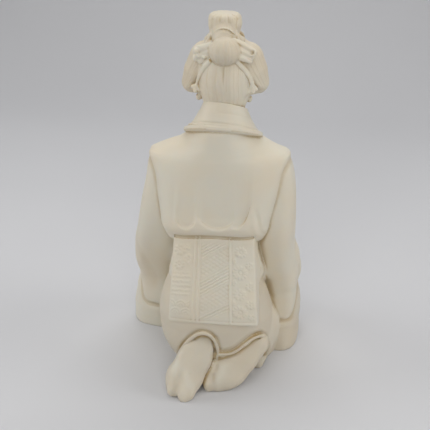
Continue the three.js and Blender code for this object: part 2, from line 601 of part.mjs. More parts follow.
// Ribbon bows beside the bun and the cords that hang from them, with small tassels.
const bows = [
  band(
    [
      [-7.5, 12.6, 223.8],
      [-12.2, 13.4, 221.9],
      [-16.6, 12.8, 219.6],
      [-20.6, 11.2, 217.2],
    ],
    [
      [-0.1, 1, 0.25],
      [-0.2, 1, 0.3],
      [-0.35, 1, 0.3],
      [-0.5, 1, 0.2],
    ],
    5.2,
    1.35,
    6,
    10,
  ),
  limb([4.5, 12.6, 223], 2.2, [13.2, 10.6, 220], 2.6, 8, 2),
  limb([5, 13, 219.6], 2.0, [13.4, 10.6, 215.4], 2.3, 8, 2),
  limb([5, 13.4, 216.8], 1.6, [10.6, 11.6, 213.4], 1.9, 8, 2),
];
const cords = [
  band(
    [
      [4.4, 15.7, 214.6],
      [7.8, 14.8, 210.6],
      [9.9, 13.6, 207],
      [11.6, 12, 203.4],
      [13.6, 9, 197.6],
    ],
    [
      [0.2, 1, 0.1],
      [0.4, 1, 0.1],
      [0.5, 1, 0.1],
      [0.5, 1, 0.1],
      [0.5, 1, 0],
    ],
    1.4,
    1.1,
    8,
    6,
  ),
  band(
    [
      [-10.4, 15, 216.4],
      [-13.4, 13.6, 212.8],
      [-16.4, 11.6, 208.6],
      [-18.8, 10.4, 204.4],
      [-20.2, 9.2, 200.4],
    ],
    [
      [-0.2, 1, 0.1],
      [-0.4, 1, 0.1],
      [-0.5, 1, 0.1],
      [-0.5, 1, 0.1],
      [-0.5, 1, 0],
    ],
    1.5,
    1.1,
    8,
    6,
  ),
  limb([13.6, 9, 198], 1.4, [14.4, 8.4, 194.6], 2.1, 8, 2),
  limb([-20.2, 9.2, 200.6], 1.5, [-20.4, 8.6, 195.6], 2.2, 8, 2),
];

// ---------------------------------------------------------------- fronts of the robe, sash cord
// The crossed fronts, her left over her right, as broad flat lapels along the chest.
const chest = (x, z) => {
  const [cx, cy, a, , front, n] = curveOf(BODICE)(z + LEAN * x);
  return cy - front * Math.max(0, 1 - Math.abs((x - cx) / a) ** n) ** (1 / n);
};
const lapel = (s, out) => {
  const pts = [],
    nrm = [];
  for (let i = 0; i <= 7; i++) {
    const z = THREE.MathUtils.lerp(173, s > 0 ? 108 : 142, i / 7),
      x = HEAD_X + s * (0.44 * (z - 150.5) + 4.2);
    pts.push([x, chest(x, z) + 0.6 - out, z]);
    nrm.push([(x - 2) * 0.03, -1, 0.2]);
  }
  return band(pts, nrm, 4.2, 1.2, 9, 8, 0.5);
};
const lapels = [lapel(RIGHT, 0), lapel(LEFT, 0.5)];
const path = (list, r, steps, around = 6) => band(list, list.map(() => [0, 0, 1]), r, r, steps, around, 1);
const sashCord = join([
  path(
    [
      [-26.6, -4, 88],
      [-22, -18, 88],
      [-10, -25.4, 88],
      [2, -26.6, 88],
      [14, -25.2, 88],
      [24.6, -18, 88],
      [29.6, -4, 88],
    ],
    1.9,
    12,
    5,
  ),
  ellipsoid([1.6, -27.4, 88], [4.6, 2.4, 3], [0, 0, 0], 12, 7),
  path(
    [
      [-26, -8, 105.5],
      [-18, -20, 106],
      [-8, -25.6, 106.2],
      [1.6, -27, 105.6],
      [11, -25.6, 106.2],
      [21, -20, 106],
      [29, -8, 105.5],
    ],
    2.7,
    12,
    5,
  ),
]);

// ---------------------------------------------------------------- assembly
const clothes = join([
  robe.subtract(hollows),
  ...hems,
  ...soles,
  sash,
  flap,
  bodice,
  ...underSleeves,
  ...sleeves,
  ...arms,
  ...cuffs,
  ...hands,
  ...lapels,
  sashCord,
  rim,
  collar,
]);
const all = join([
  clothes.subtract(collarIn).subtract(collarTop).subtract(throat),
  neck,
  face,
  nape,
  ...wings,
  ...hair,
  ...ears,
  ...bows,
  ...cords,
]);
// Flat underside, where she rests on the table.
const body = all.subtract(slab(-200, 200, -200, 200, -60, 0));

const mesh = body.getMesh();
const geometry = new THREE.BufferGeometry();
geometry.setAttribute("position", new THREE.BufferAttribute(Float32Array.from(mesh.vertProperties), 3));
geometry.setIndex(new THREE.BufferAttribute(Uint32Array.from(mesh.triVerts), 1));
geometry.computeBoundingBox();
const box = geometry.boundingBox;
const middle = [(box.min.x + box.max.x) / 2, (box.min.y + box.max.y) / 2];
geometry.translate(-middle[0], -middle[1], -box.min.z);
geometry.computeVertexNormals();

const figurine = new THREE.Mesh(
  geometry,
  new THREE.MeshStandardMaterial({ color: new THREE.Color(0.85, 0.81, 0.7), roughness: 0.55, metalness: 0 }),
);
figurine.name = "figurine";
figurine.userData.offset = middle; // from the modelling frame to the origin of the part

const group = new THREE.Group();
group.name = "alabaster_kneeling_figurine";
group.add(figurine);
export default group;
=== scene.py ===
import bpy
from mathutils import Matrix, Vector

import math
import time

import numpy as np

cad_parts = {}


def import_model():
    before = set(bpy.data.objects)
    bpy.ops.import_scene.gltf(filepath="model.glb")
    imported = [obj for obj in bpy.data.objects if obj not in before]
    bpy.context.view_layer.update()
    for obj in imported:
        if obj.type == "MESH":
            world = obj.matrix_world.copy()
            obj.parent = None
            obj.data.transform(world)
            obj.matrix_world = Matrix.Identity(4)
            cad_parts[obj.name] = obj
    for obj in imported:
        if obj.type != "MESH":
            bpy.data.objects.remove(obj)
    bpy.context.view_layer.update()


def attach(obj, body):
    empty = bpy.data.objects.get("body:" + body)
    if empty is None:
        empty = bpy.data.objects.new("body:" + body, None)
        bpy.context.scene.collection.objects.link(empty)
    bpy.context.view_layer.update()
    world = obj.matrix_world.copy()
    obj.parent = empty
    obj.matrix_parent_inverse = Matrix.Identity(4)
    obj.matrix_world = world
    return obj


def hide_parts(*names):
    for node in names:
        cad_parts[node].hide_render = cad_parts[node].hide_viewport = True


F = np.float32
T0 = time.time()


def say(*words):
    print("[%5.1fs]" % (time.time() - T0), *words, flush=True)


# ------------------------------------------------------------------ implicit solids
# Every mass of the figurine is a function of points in millimetres that is negative inside.
def smin(a, b, k):
    h = np.maximum(k - np.abs(a - b), 0.0) / k
    return np.minimum(a, b) - h * h * (k * 0.25)


def smax(a, b, k):
    return -smin(-a, -b, k)


def sstep(lo, hi, x):
    t = np.clip((x - lo) / (hi - lo), 0.0, 1.0)
    return t * t * (3.0 - 2.0 * t)


def bell(x, w):
    return np.exp(-((x / w) ** 2))


class Curve:
    """Monotone cubic through rows of [key, value, ...]."""

    def __init__(self, rows):
        a = np.array(rows, dtype=np.float64)
        self.k, self.v = a[:, 0], a[:, 1:]
        h = np.diff(self.k)[:, None]
        d = np.diff(self.v, axis=0) / h
        s = np.zeros_like(self.v)
        s[0], s[-1] = d[0], d[-1]
        for i in range(1, len(a) - 1):
            w1, w2 = 2 * h[i] + h[i - 1], h[i] + 2 * h[i - 1]
            ok = d[i - 1] * d[i] > 0
            den = np.where(ok, w1 / np.where(ok, d[i - 1], 1) + w2 / np.where(ok, d[i], 1), 1)
            s[i] = np.where(ok, (w1 + w2) / den, 0)
        self.s = s

    def __call__(self, x):
        x = np.clip(x, self.k[0], self.k[-1])
        i = np.clip(np.searchsorted(self.k, x, side="right") - 1, 0, len(self.k) - 2)
        h = (self.k[i + 1] - self.k[i])[:, None]
        t = (x - self.k[i])[:, None] / h
        return (
            (1 + 2 * t) * (1 - t) ** 2 * self.v[i]
            + t * (1 - t) ** 2 * h * self.s[i]
            + t * t * (3 - 2 * t) * self.v[i + 1]
            + t * t * (t - 1) * h * self.s[i + 1]
        ).T


def rot(rx, ry, rz):
    """Rotation matrix for Euler angles in degrees, applied X, then Y, then Z."""
    a, b, c = (math.radians(v) for v in (rx, ry, rz))
    X = np.array([[1, 0, 0], [0, math.cos(a), -math.sin(a)], [0, math.sin(a), math.cos(a)]])
    Y = np.array([[math.cos(b), 0, math.sin(b)], [0, 1, 0], [-math.sin(b), 0, math.cos(b)]])
    Z = np.array([[math.cos(c), -math.sin(c), 0], [math.sin(c), math.cos(c), 0], [0, 0, 1]])
    return Z @ Y @ X


class Solid:
    """A named mass: its function, its box and the softness of its join to what is there."""

    def __init__(self, name, fn, lo, hi, k=1.0, cut=False):
        self.name, self.fn, self.k, self.cut = name, fn, k, cut
        self.lo, self.hi = np.array(lo, float), np.array(hi, float)


def ellipsoid(c, r, turn=(0, 0, 0)):
    c, r, M = np.array(c, float), np.array(r, float), rot(*turn)

    def fn(P):
        q = (P - c) @ M
        k0 = np.sqrt(((q / r) ** 2).sum(1))
        k1 = np.sqrt(((q / r**2) ** 2).sum(1))
        return k0 * (k0 - 1.0) / np.maximum(k1, 1e-6)

    ext = np.sqrt((M**2) @ (r**2))
    return fn, c - ext, c + ext


def limb(a, ra, b, rb):
    """Two balls and the cone tangent to both."""
    a, b = np.array(a, float), np.array(b, float)
    ba = b - a
    l2 = float(ba @ ba)
    rr = ra - rb
    a2 = l2 - rr * rr
    il2 = 1.0 / l2

    def fn(P):
        pa = P - a
        y = pa @ ba
        z = y - l2
        q = pa * l2 - np.outer(y, ba)
        x2 = (q * q).sum(1)
        y2 = y * y * l2
        z2 = z * z * l2
        k = np.sign(rr) * rr * rr * x2
        d = (np.sqrt(x2 * a2 * il2) + y * rr) * il2 - ra
        d = np.where(np.sign(z) * a2 * z2 > k, np.sqrt(x2 + z2) * il2 - rb, d)
        return np.where((np.sign(z) * a2 * z2 <= k) & (np.sign(y) * a2 * y2 < k), np.sqrt(x2 + y2) * il2 - ra, d)

    return fn, np.minimum(a - ra, b - rb), np.maximum(a + ra, b + rb)


def loft(rows, swell=None, shear=None):
    """Loft up Z: rows of z, cx, cy, half width, depth to the back, depth to the front, squareness."""
    rows = [list(r) for r in rows]
    curve = Curve(rows)
    z0, z1 = rows[0][0], rows[-1][0]
    v = np.array(rows)
    # how steeply the outline moves with z, so that the distance stays true on shallow slopes
    zs = np.linspace(z0, z1, 400)
    c = curve(zs)
    lean = np.abs(np.gradient(c[:5], zs, axis=1))
    lean = lean[0] + lean[1] + np.maximum(lean[2], np.maximum(lean[3], lean[4]))
    lean = np.convolve(np.pad(lean, 6, mode="edge"), np.ones(13) / 13, "valid")
    steep = np.sqrt(1 + lean**2)

    def fn(P):
        z = P[:, 2]
        zc = np.clip(z, z0, z1)
        cx, cy, a, bb, bf, n = curve(zc)
        dx, dy = P[:, 0] - cx, P[:, 1] - cy
        b = np.where(dy > 0, bb, bf)
        ux, uy = np.abs(dx) / a + 1e-6, np.abs(dy) / b + 1e-6
        f = (ux**n + uy**n) ** (1.0 / n)
        ff = np.maximum(f, 0.15)
        g = ff ** (1 - n) * np.hypot(np.maximum(ux, 0.02) ** (n - 1) / a, np.maximum(uy, 0.02) ** (n - 1) / b)
        d = (f - 1.0) / np.maximum(g, 1e-3)
        if swell is not None:
            d = d - swell(P)
        d = d / np.interp(zc, zs, steep)
        dz = np.maximum(z - z1, z0 - z)
        return np.where(dz > 0, np.hypot(np.maximum(d, 0), dz), np.maximum(d, dz))

    m = 3 if swell is not None else 0
    lo = [(v[:, 1] - v[:, 3]).min() - m, (v[:, 2] - v[:, 5]).min() - m, z0]
    hi = [(v[:, 1] + v[:, 3]).max() + m, (v[:, 2] + v[:, 4]).max() + m, z1]
    return fn, np.array(lo), np.array(hi)


def leaned(spec, ax, ay, x0=0.0, y0=0.0):
    """The solid with every level tilted: it rises by ax per mm of x and ay per mm of y."""
    f, lo, hi = spec

    def fn(P):
        return f(np.stack([P[:, 0], P[:, 1], P[:, 2] - ax * (P[:, 0] - x0) - ay * (P[:, 1] - y0)], 1)) * 0.92

    cs = [ax * (x - x0) + ay * (y - y0) for x in (lo[0], hi[0]) for y in (lo[1], hi[1])]
    return fn, np.array([lo[0], lo[1], lo[2] + min(cs)]), np.array([hi[0], hi[1], hi[2] + max(cs)])


def turned(spec, c, angle):
    """The solid turned about the vertical through c, in degrees."""
    f, lo, hi = spec
    c, M = np.array([c[0], c[1], 0.0]), rot(0, 0, angle)

    def fn(P):
        return f((P - c) @ M + c)

    mid, half = (np.array(lo) + np.array(hi)) / 2, (np.array(hi) - np.array(lo)) / 2
    mid, half = (mid - c) @ M.T + c, np.abs(M) @ half
    return fn, mid - half, mid + half


def flattened(spec, c, normal, h, k):
    """The solid planed off at distance h from c along the normal."""
    f, lo, hi = spec
    c, n = np.array(c, float), np.array(normal, float)
    n = n / np.linalg.norm(n)

    def fn(P):
        return smax(f(P), (P - c) @ n - h, k)

    return fn, lo, hi


def stretched(spec, c, s):
    """The solid stretched by factors s about the point c."""
    f, lo, hi = spec
    c, s = np.array(c, float), np.array(s, float)

    def fn(P):
        return f(c + (P - c) / s) * s.min()

    return fn, c + (np.array(lo) - c) * s, c + (np.array(hi) - c) * s


def spline(points, n):
    """Catmull-Rom through points, n samples."""
    p = np.array(points, float)
    p = np.vstack([2 * p[0] - p[1], p, 2 * p[-1] - p[-2]])
    m = len(p) - 3
    u = np.linspace(0, m, n)
    i = np.minimum(u.astype(int), m - 1)
    t = (u - i)[:, None]
    a, b, c, d = p[i], p[i + 1], p[i + 2], p[i + 3]
    return 0.5 * ((2 * b) + (c - a) * t + (2 * a - 5 * b + 4 * c - d) * t**2 + (3 * b - a - 3 * c + d) * t**3)


def nearest_on(P, Q):
    """Nearest point of the polyline Q: distance, share of the way along, and the vector from it."""
    best = np.full(len(P), 1e18)
    where = np.zeros(len(P))
    vec = np.zeros((len(P), 3))
    L = np.concatenate([[0], np.cumsum(np.linalg.norm(np.diff(Q[:, :3], axis=0), axis=1))])
    for i in range(len(Q) - 1):
        a, b = Q[i, :3], Q[i + 1, :3]
        ab = b - a
        l2 = float(ab @ ab) + 1e-12
        t = np.clip(((P - a) @ ab) / l2, 0, 1)
        v = P - (a + t[:, None] * ab)
        d = (v * v).sum(1)
        m = d < best
        best = np.where(m, d, best)
        where = np.where(m, (L[i] + t * (L[i + 1] - L[i])) / L[-1], where)
        vec[m] = v[m]
    return np.sqrt(best), where, vec


def tube(points, radius, n=40):
    """A cord along points; radius is a number or a list spread over its length."""
    Q = spline(points, n)
    rad = np.atleast_1d(np.array(radius, float))
    s = np.linspace(0, 1, len(rad)) if len(rad) > 1 else None

    def fn(P):
        d, w, _ = nearest_on(P, Q)
        return d - (np.interp(w, s, rad) if s is not None else rad[0])

    R = rad.max()
    return fn, Q.min(0) - R, Q.max(0) + R


def strap(points, normals, half, thick, n=40, edge=0.6, bow=0.0, folds=0.0, depth=0.0):
    """A flat band along points, its face turned to normals: half width and half thickness, folded along its length."""
    Q = spline(points, n)
    N = spline(normals, n)
    N /= np.linalg.norm(N, axis=1)[:, None]
    half = np.atleast_1d(np.array(half, float))
    sh = np.linspace(0, 1, len(half)) if len(half) > 1 else None

    def fn(P):
        _, w, v = nearest_on(P, Q)
        k = w * (n - 1)
        i = np.clip(k.astype(int), 0, n - 2)
        f = (k - i)[:, None]
        nn = N[i] * (1 - f) + N[i + 1] * f
        T = Q[i + 1] - Q[i]
        T /= np.linalg.norm(T, axis=1)[:, None]
        B = np.cross(T, nn)
        B /= np.linalg.norm(B, axis=1)[:, None] + 1e-9
        out = (v * nn).sum(1)
        across = (v * B).sum(1)
        along = (v * T).sum(1)
        hw = np.interp(w, sh, half) if sh is not None else half[0]
        qa = np.abs(across) - (hw - edge)
        lift = bow * (across / hw) ** 2 + depth * np.cos(np.pi * folds * np.clip(across / hw, -1.2, 1.2))
        qo = np.abs(out - lift) - (thick - min(edge, thick * 0.9))
        ql = np.abs(along)
        e = min(edge, thick * 0.9)
        d = np.sqrt(np.maximum(qa, 0) ** 2 + np.maximum(qo, 0) ** 2 + ql**2) + np.minimum(np.maximum(qa, qo), 0) - e
        return d

    R = half.max() + thick
    return fn, Q.min(0) - R, Q.max(0) + R


def slab(lo, hi, r=0.5, turn=(0, 0, 0)):
    lo, hi = np.array(lo, float), np.array(hi, float)
    c, h, M = (lo + hi) / 2, (hi - lo) / 2 - r, rot(*turn)

    def fn(P):
        q = np.abs((P - c) @ M) - h
        return np.sqrt((np.maximum(q, 0) ** 2).sum(1)) + np.minimum(q.max(1), 0) - r

    e = np.abs(M) @ (h + r)
    return fn, c - e, c + e


MARGIN = 6.0


def field(solids, P, tags=None):
    """Distance to the whole; tags, a dict of name to array, gets each named solid's own value."""
    d = np.full(len(P), 50.0)
    for s in solids:
        m = np.ones(len(P), bool)
        for k in range(3):
            m &= (P[:, k] > s.lo[k] - MARGIN) & (P[:, k] < s.hi[k] + MARGIN)
        i = np.nonzero(m)[0]
        if not len(i):
            continue
        v = s.fn(P[i])
        if tags is not None and s.name in tags:
            tags[s.name][i] = np.minimum(tags[s.name][i], v)
        if s.cut:
            d[i] = smax(d[i], -v, s.k)
        else:
            d[i] = smin(d[i], v, s.k)
    return d


def grad(solids, P, e=0.15):
    """Value and gradient from four points of a tetrahedron."""
    K = np.array([[1, -1, -1], [-1, -1, 1], [-1, 1, -1], [1, 1, 1]], float)
    V = [field(solids, P + e * k) for k in K]
    g = sum(v[:, None] * k for v, k in zip(V, K)) / (4 * e)
    return sum(V) / 4, g


def extract(solids, lo, hi, steps=(4.0, 2.0, 1.0, 0.5), say_=say):
    """Surface nets on a grid that is refined only near the surface."""
    lo, hi = np.array(lo, float), np.array(hi, float)
    h = steps[0]
    shape = np.ceil((hi - lo) / h).astype(int)
    cells = np.stack(np.meshgrid(*[np.arange(n) for n in shape], indexing="ij"), -1).reshape(-1, 3)
    for level, h in enumerate(steps):
        if level:
            kids = np.array([[i, j, k] for i in (0, 1) for j in (0, 1) for k in (0, 1)])
            cells = (cells[:, None, :] * 2 + kids[None]).reshape(-1, 3)
            shape = shape * 2
        if h == steps[-1]:
            break
        d = field(solids, lo + (cells + 0.5) * h)
        cells = cells[np.abs(d) < h * (1.05 if level else 1.6) + 0.5]
        say_("grid", h, "cells", len(cells))
    # corners of the finest cells
    n1 = shape + 1
    stride = np.array([n1[1] * n1[2], n1[2], 1], np.int64)
    corner = np.array([[i, j, k] for i in (0, 1) for j in (0, 1) for k in (0, 1)])
    base = cells.astype(np.int64) @ stride
    offs = corner.astype(np.int64) @ stride
    ids = np.unique((base[:, None] + offs[None]).ravel())
    q = np.stack([ids // stride[0], (ids // stride[1]) % n1[1], ids % n1[2]], 1)
    val = np.empty(len(ids))
    for s in range(0, len(ids), 400000):
        val[s : s + 400000] = field(solids, lo + q[s : s + 400000] * h)
    say_("grid", h, "corners", len(ids))
    dense = np.full(int(np.prod(n1)), 9.0, np.float32)
    dense[ids] = val
    D = dense[base[:, None] + offs[None]]
    inside = D < 0
    act = inside.any(1) & ~inside.all(1)
    cells, base, D, inside = cells[act], base[act], D[act], inside[act]
    # vertex of each active cell: mean of its edge crossings
    edges = [(a, b) for a in range(8) for b in range(a + 1, 8) if (corner[a] != corner[b]).sum() == 1]
    acc = np.zeros((len(cells), 3))
    cnt = np.zeros(len(cells))
    for a, b in edges:
        m = inside[:, a] != inside[:, b]
        t = D[m, a] / (D[m, a] - D[m, b])
        acc[m] += corner[a] + t[:, None] * (corner[b] - corner[a])
        cnt[m] += 1
    V = lo + (cells + acc / cnt[:, None]) * h
    number = np.full(int(np.prod(n1)), -1, np.int32)
    number[base] = np.arange(len(cells))
    quads = []
    for ax in range(3):
        b, c = (ax + 1) % 3, (ax + 2) % 3
        far = int(corner_index(ax))
        m = inside[:, 0] != inside[:, far]
        o = base[m]
        v = [number[o], number[o - stride[b]], number[o - stride[b] - stride[c]], number[o - stride[c]]]
        Q = np.stack(v, 1)
        flip = inside[m, 0]
        Q = np.where(flip[:, None], Q, Q[:, ::-1])
        quads.append(Q)
    Q = np.concatenate(quads)
    Q = Q[(Q >= 0).all(1)]
    say_("surface", len(V), "vertices", len(Q), "quads")
    return V, Q


def corner_index(ax):
    return (4, 2, 1)[ax]


def snap(solids, V, rounds=2, cap=0.4):
    for _ in range(rounds):
        for s in range(0, len(V), 300000):
            d, g = grad(solids, V[s : s + 300000])
            g2 = (g * g).sum(1) + 1e-6
            step = -(d / g2)[:, None] * g
            l = np.linalg.norm(step, axis=1)[:, None]
            V[s : s + 300000] += step * np.minimum(1, cap / np.maximum(l, 1e-9))
    return V

# ------------------------------------------------------------------ named sizes, mm
HEIGHT = 240.0
LEFT, RIGHT = 1, -1
HEAD_X = -2.2


def merge(parts):
    """One solid from several, each joined softly to those before it."""

    def fn(P):
        d = None
        for (f, lo, hi), k in parts:
            v = f(P)
            d = v if d is None else smin(d, v, max(k, 0.01))
        return d

    return fn, np.min([p[0][1] for p in parts], 0), np.max([p[0][2] for p in parts], 0)


HIPS = [
    [-6, 1.5, 0, 25.5, 18, 30, 2.2],
    [0, 1.6, 1, 27, 20, 30, 2.2],
    [9, 1.8, 3, 28.8, 24, 30, 2.2],
    [19, 2.1, 5, 33.2, 28.6, 30, 2.15],
    [27, 2.2, 6, 35.9, 31, 30, 2.1],
    [38, 2.2, 6, 37.3, 33.2, 30, 2.1],
    [43, 2.3, 6, 37.3, 33.6, 30, 2.25],
    [50, 2.8, 5.5, 36.2, 33.3, 30, 2.5],
    [58, 3.3, 5, 34, 32, 28, 2.6],
    [66, 3.8, 4, 30.6, 29, 25, 2.5],
    [76, 3, 3, 26, 24, 22, 2.3],
    [88, 2, 2, 21, 19, 18, 2],
]
LAP = [
    [-6, 0, -32, 35, 34, 46.5, 3.0],
    [3, 0, -32, 37.5, 36, 49, 3.0],
    [14, 0, -32, 39.5, 36, 49.5, 2.9],
    [26, 0, -32, 39.5, 34, 49, 2.8],
    [36, 0, -32, 36.5, 30, 45.5, 2.6],
    [43, 0, -32, 30, 24, 37, 2.5],
    [46.5, 0, -30, 20, 18, 26, 2.4],
]
FOOT_L = {
    "hollow": [([4.6, 37, 31.5], 8.4, [12, 44, 17], 9.2), ([12, 44, 17], 9.2, [19, 44, 6], 11.5)],
    "rim": [[27.0, 22.0, 3], [25.4, 26.2, 11], [21.8, 32.0, 22], [16.0, 36.9, 33], [10.2, 39.0, 40.0], [6.0, 40.0, 42.4], [1.0, 39.8, 41.4], [-2.4, 38.6, 36.4], [-3.8, 36.8, 29], [-3.0, 33.6, 21]],
    "rim_r": [1.5, 1.45, 1.35, 1.3, 1.3, 1.3],
    "solids": [
        (limb, ([5.6, 32.8, 32.4], 8.6, [11.4, 36.6, 20.6], 10.3), 0),
        (limb, ([11.4, 36.6, 20.6], 10.3, [16.8, 40.8, 11.0], 10.8), 4),
        (ellipsoid, ([17.4, 42.6, 9.0], [11.9, 12.0, 9.2], (-24, 0, -24)), 5),
        (limb, ([15.6, 46, 6.6], 7.0, [14.9, 54.0, 5.2], 5.6), 3),
        (limb, ([21.6, 44, 6.2], 6.0, [22.9, 49.2, 4.8], 4.6), 2.5),
    ],
    "plane": ([11.4, 37.6, 20.6], [-0.08, 0.89, 0.44], 8.8, 4.0),
}
FOOT_R = {
    "hollow": [([-28, 23.4, 24.4], 8.6, [-18, 31.4, 15.4], 9.4), ([-18, 31.4, 15.4], 9.4, [-2, 36, 8], 11)],
    "rim": [[-1.6, 33.4, 21], [-4.4, 35.4, 25.0], [-11.4, 34.0, 25.6], [-16.5, 33.0, 28.4], [-21.5, 31.4, 32.6], [-26.2, 27.6, 34.8], [-30.9, 21.4, 33.2], [-33.9, 15.0, 27.0], [-34.2, 9.6, 18], [-32.6, 6, 10]],
    "rim_r": [1.3, 1.35, 1.35, 1.35, 1.4, 1.4],
    "solids": [
        (limb, ([-26.4, 18.8, 25.4], 8.8, [-17.6, 24.8, 17.0], 10.1), 0),
        (limb, ([-17.6, 24.8, 17.0], 10.1, [-7.6, 29.2, 10.8], 10.9), 4),
        (ellipsoid, ([-7.4, 30.4, 9.2], [14.8, 13.6, 9.8], (-16, 0, 18)), 5),
        (limb, ([-2, 31, 8.6], 6.6, [3.4, 32.0, 8.2], 5.6), 2.5),
        (limb, ([-4, 35, 6], 6.6, [0.4, 39.2, 4.8], 5.2), 2.5),
    ],
    "plane": ([-16.0, 26.6, 16.0], [-0.16, 0.87, 0.46], 8.6, 6.0),
}


def mirror_x(rows, s):
    return [[r[0], s * r[1]] + list(r[2:]) for r in rows]


FLAP_BACK = Curve([[46, 40.5], [50, 40.3], [60, 38.9], [72, 34.9], [86, 29.6], [99, 26.2], [106, 25.2]])


def flap_middle(t):
    return -0.3 + 1.6 * t


def flap_half(t):
    return 28.9 - 3.0 * t


def flap_solid():
    """The sash flap that hangs down the back: a curved slab over the hips."""

    def fn(P):
        z = P[:, 2]
        zc = np.clip(z, 46, 106)
        t = (zc - 48.5) / (102 - 48.5)
        x, y = P[:, 0] - flap_middle(t), P[:, 1]
        half = flap_half(t)
        (yb,) = FLAP_BACK(zc)
        u = x / half
        skin = yb - (6.8 - 1.8 * t) * np.minimum(np.abs(u) ** 2.3, 1.7)
        out = y - skin
        e = 1.2
        sx = np.abs(x) - (half - e)
        sz = np.maximum(49.6 - 3.4 * u * u - 0.5 * u + e - z, z - (106 - e))
        so = np.maximum(out + e, -(out + 15) + e)
        q = np.stack([sx, sz, so], 1)
        return np.sqrt((np.maximum(q, 0) ** 2).sum(1)) + np.minimum(q.max(1), 0) - e

    return fn, (-31, 8, 45), (32, 43, 106)


POUCHES = (
    # x and z of the lowest point, rise with the square and the fourth power, half width, fade upward, depth
    (-1.6, 110.0, 0.042, 0.0, 12.2, 14.0, 2.2),
    (-13.4, 111.6, 0.085, 0.0013, 9.4, 19.0, 2.0),
    (18.4, 109.0, 0.110, 0.0, 6.6, 13.0, 1.8),
)


def bodice_swell(P):
    """Blousing of the back over the sash: three pouches end in upturned ledges over a soft roll."""
    x, y, z = P.T
    w = sstep(4.0, 14.0, y)
    dent = np.zeros(len(x))
    for cx, zc, a2, a4, half, fade, depth in POUCHES:
        d = x - cx
        t = z - (zc + a2 * d**2 + a4 * d**4)
        dent = np.maximum(dent, depth * sstep(-1.0, 1.6, t) * np.exp(-((np.maximum(z - zc, 0) / fade) ** 1.3)) * sstep(1.12, 0.70, np.abs(d) / half) * (1.0 if a4 == 0 else sstep(7.5, -4.0, d)))
    out = 0.5 * bell(z - 107.0, 3.5) - dent
    # upright folds towards the sides, and the slit beside the right one
    out = out - 0.5 * bell(x - 27.2 + 0.05 * (z - 104), 2.4) * sstep(104, 112, z) * sstep(150, 126, z)
    out = out + 0.35 * bell(x - 24.2 + 0.03 * (z - 104), 2.0) * sstep(106, 114, z) * sstep(146, 124, z)
    line = -28.6 + 0.20 * (z - 106)
    m = sstep(101, 107, z) * sstep(127, 116, z)
    out = out - 0.6 * bell(x - line, 1.3) * m + 0.35 * bell(x - line - 2.6, 1.6) * m + 0.25 * bell(x - line + 2.6, 1.5) * m
    # long soft hollow between the shoulder blades
    out = out - 0.5 * bell(x - 4, 13) * bell(z - 140, 14)
    return out * w


BODICE_ROWS = [
    [93.4, 2.2, 0.5, 27.6, 20.3, 20, 2.7],
    [94.3, 2.2, 0.5, 29.8, 21.8, 21, 2.9],
    [96.2, 2.2, 0.6, 31.4, 23.4, 22, 3.1],
    [98.8, 2.0, 0.8, 32.8, 24.9, 22.6, 3.2],
    [101.6, 1.9, 1, 33.9, 26.1, 23.2, 3.2],
    [104.4, 1.85, 1, 34.6, 26.7, 23.6, 3.2],
    [107.4, 1.8, 1, 35.3, 26.6, 24, 3.2],
    [114, 1.5, 0.6, 36.8, 25.7, 24.4, 3.1],
    [125, 1.0, 0, 39.0, 25.0, 24.5, 3.0],
    [140, 0.5, -1, 42.0, 24.4, 22.5, 3.0],
    [148, 0.7, -1, 44.6, 23.8, 19, 3.0],
    [151, 1.2, -1, 45.2, 23.5, 17, 2.9],
    [152.9, 1.8, -1, 44.2, 23.3, 16, 2.75],
    [155.0, 2.0, -1, 39.8, 23.0, 15, 2.5],
    [157.9, 1.2, -1, 33.4, 22.6, 14.4, 2.35],
    [160.4, -0.4, -1, 28.0, 22.2, 13.6, 2.25],
    [163, -0.8, -0.8, 24.8, 21.8, 12.6, 2.15],
    [166, -0.8, -0.6, 22.2, 21.4, 12, 2.1],
    [170, -1.2, -0.2, 19.6, 20.4, 10.6, 2.1],
    [173.5, -1.6, 0, 17.0, 18.0, 9, 2.05],
    [176.5, -2.2, 0, 13, 14, 8, 2],
    [178, -3, 0, 8, 8, 6, 2],
]
LEAN = 0.036  # the left shoulder is carried lower than the right


def bodice_solid():
    f, lo, hi = loft(BODICE_ROWS)

    def fn(P):
        x, y, z = P.T
        z2 = z + LEAN * x - 0.34 * np.maximum(y - 6, -2) * sstep(134, 104, z)
        # the back rounds forward towards the line of the shoulders
        out = np.abs(x + 1.0)
        down = np.maximum(166.0 - 0.30 * np.maximum(out - 12, 0) - z2, 0)
        round_ = np.exp(-((down / 15.0) ** 1.5)) * sstep(5, 32, out)
        y2 = y + 7.0 * round_ * sstep(-12, 14, y)
        return (f(np.stack([x, y2, z2], 1)) - bodice_swell(P)) * 0.9 / (1 + 0.6 * round_)

    return fn, lo - [2, 2, 4], hi + [2, 2, 9]


def crease_solid():
    """Narrow shadowed crease where the blouse rests on the sash flap."""
    flap, bodice = flap_solid()[0], bodice_solid()[0]

    def fn(P):
        x, y, z = P.T
        edge = np.abs(x - flap_middle(1.0)) - (flap_half(1.0) - 0.6)
        return np.maximum(np.hypot(bodice(P) + 0.2, flap(P) + 0.2) - 0.85, np.maximum(14.0 - y, edge))

    return fn, (-33, 12, 92), (34, 43, 112)


RIM = [
    [165.4, -1.7, 0, 20.5, 18.4, 9, 2.15],
    [165.9, -1.7, 0, 23.8, 20.4, 10.5, 2.15],
    [166.6, -1.7, 0, 24.8, 21.2, 11, 2.15],
    [168.3, -1.7, 0, 24.8, 21.0, 11, 2.15],
    [169.1, -1.8, 0, 23.8, 20.4, 10.5, 2.15],
    [169.7, -1.8, 0, 21.5, 19.0, 10, 2.15],
]
RIM_LEAN = (0.02, 0.44, -2.8, 5.0)


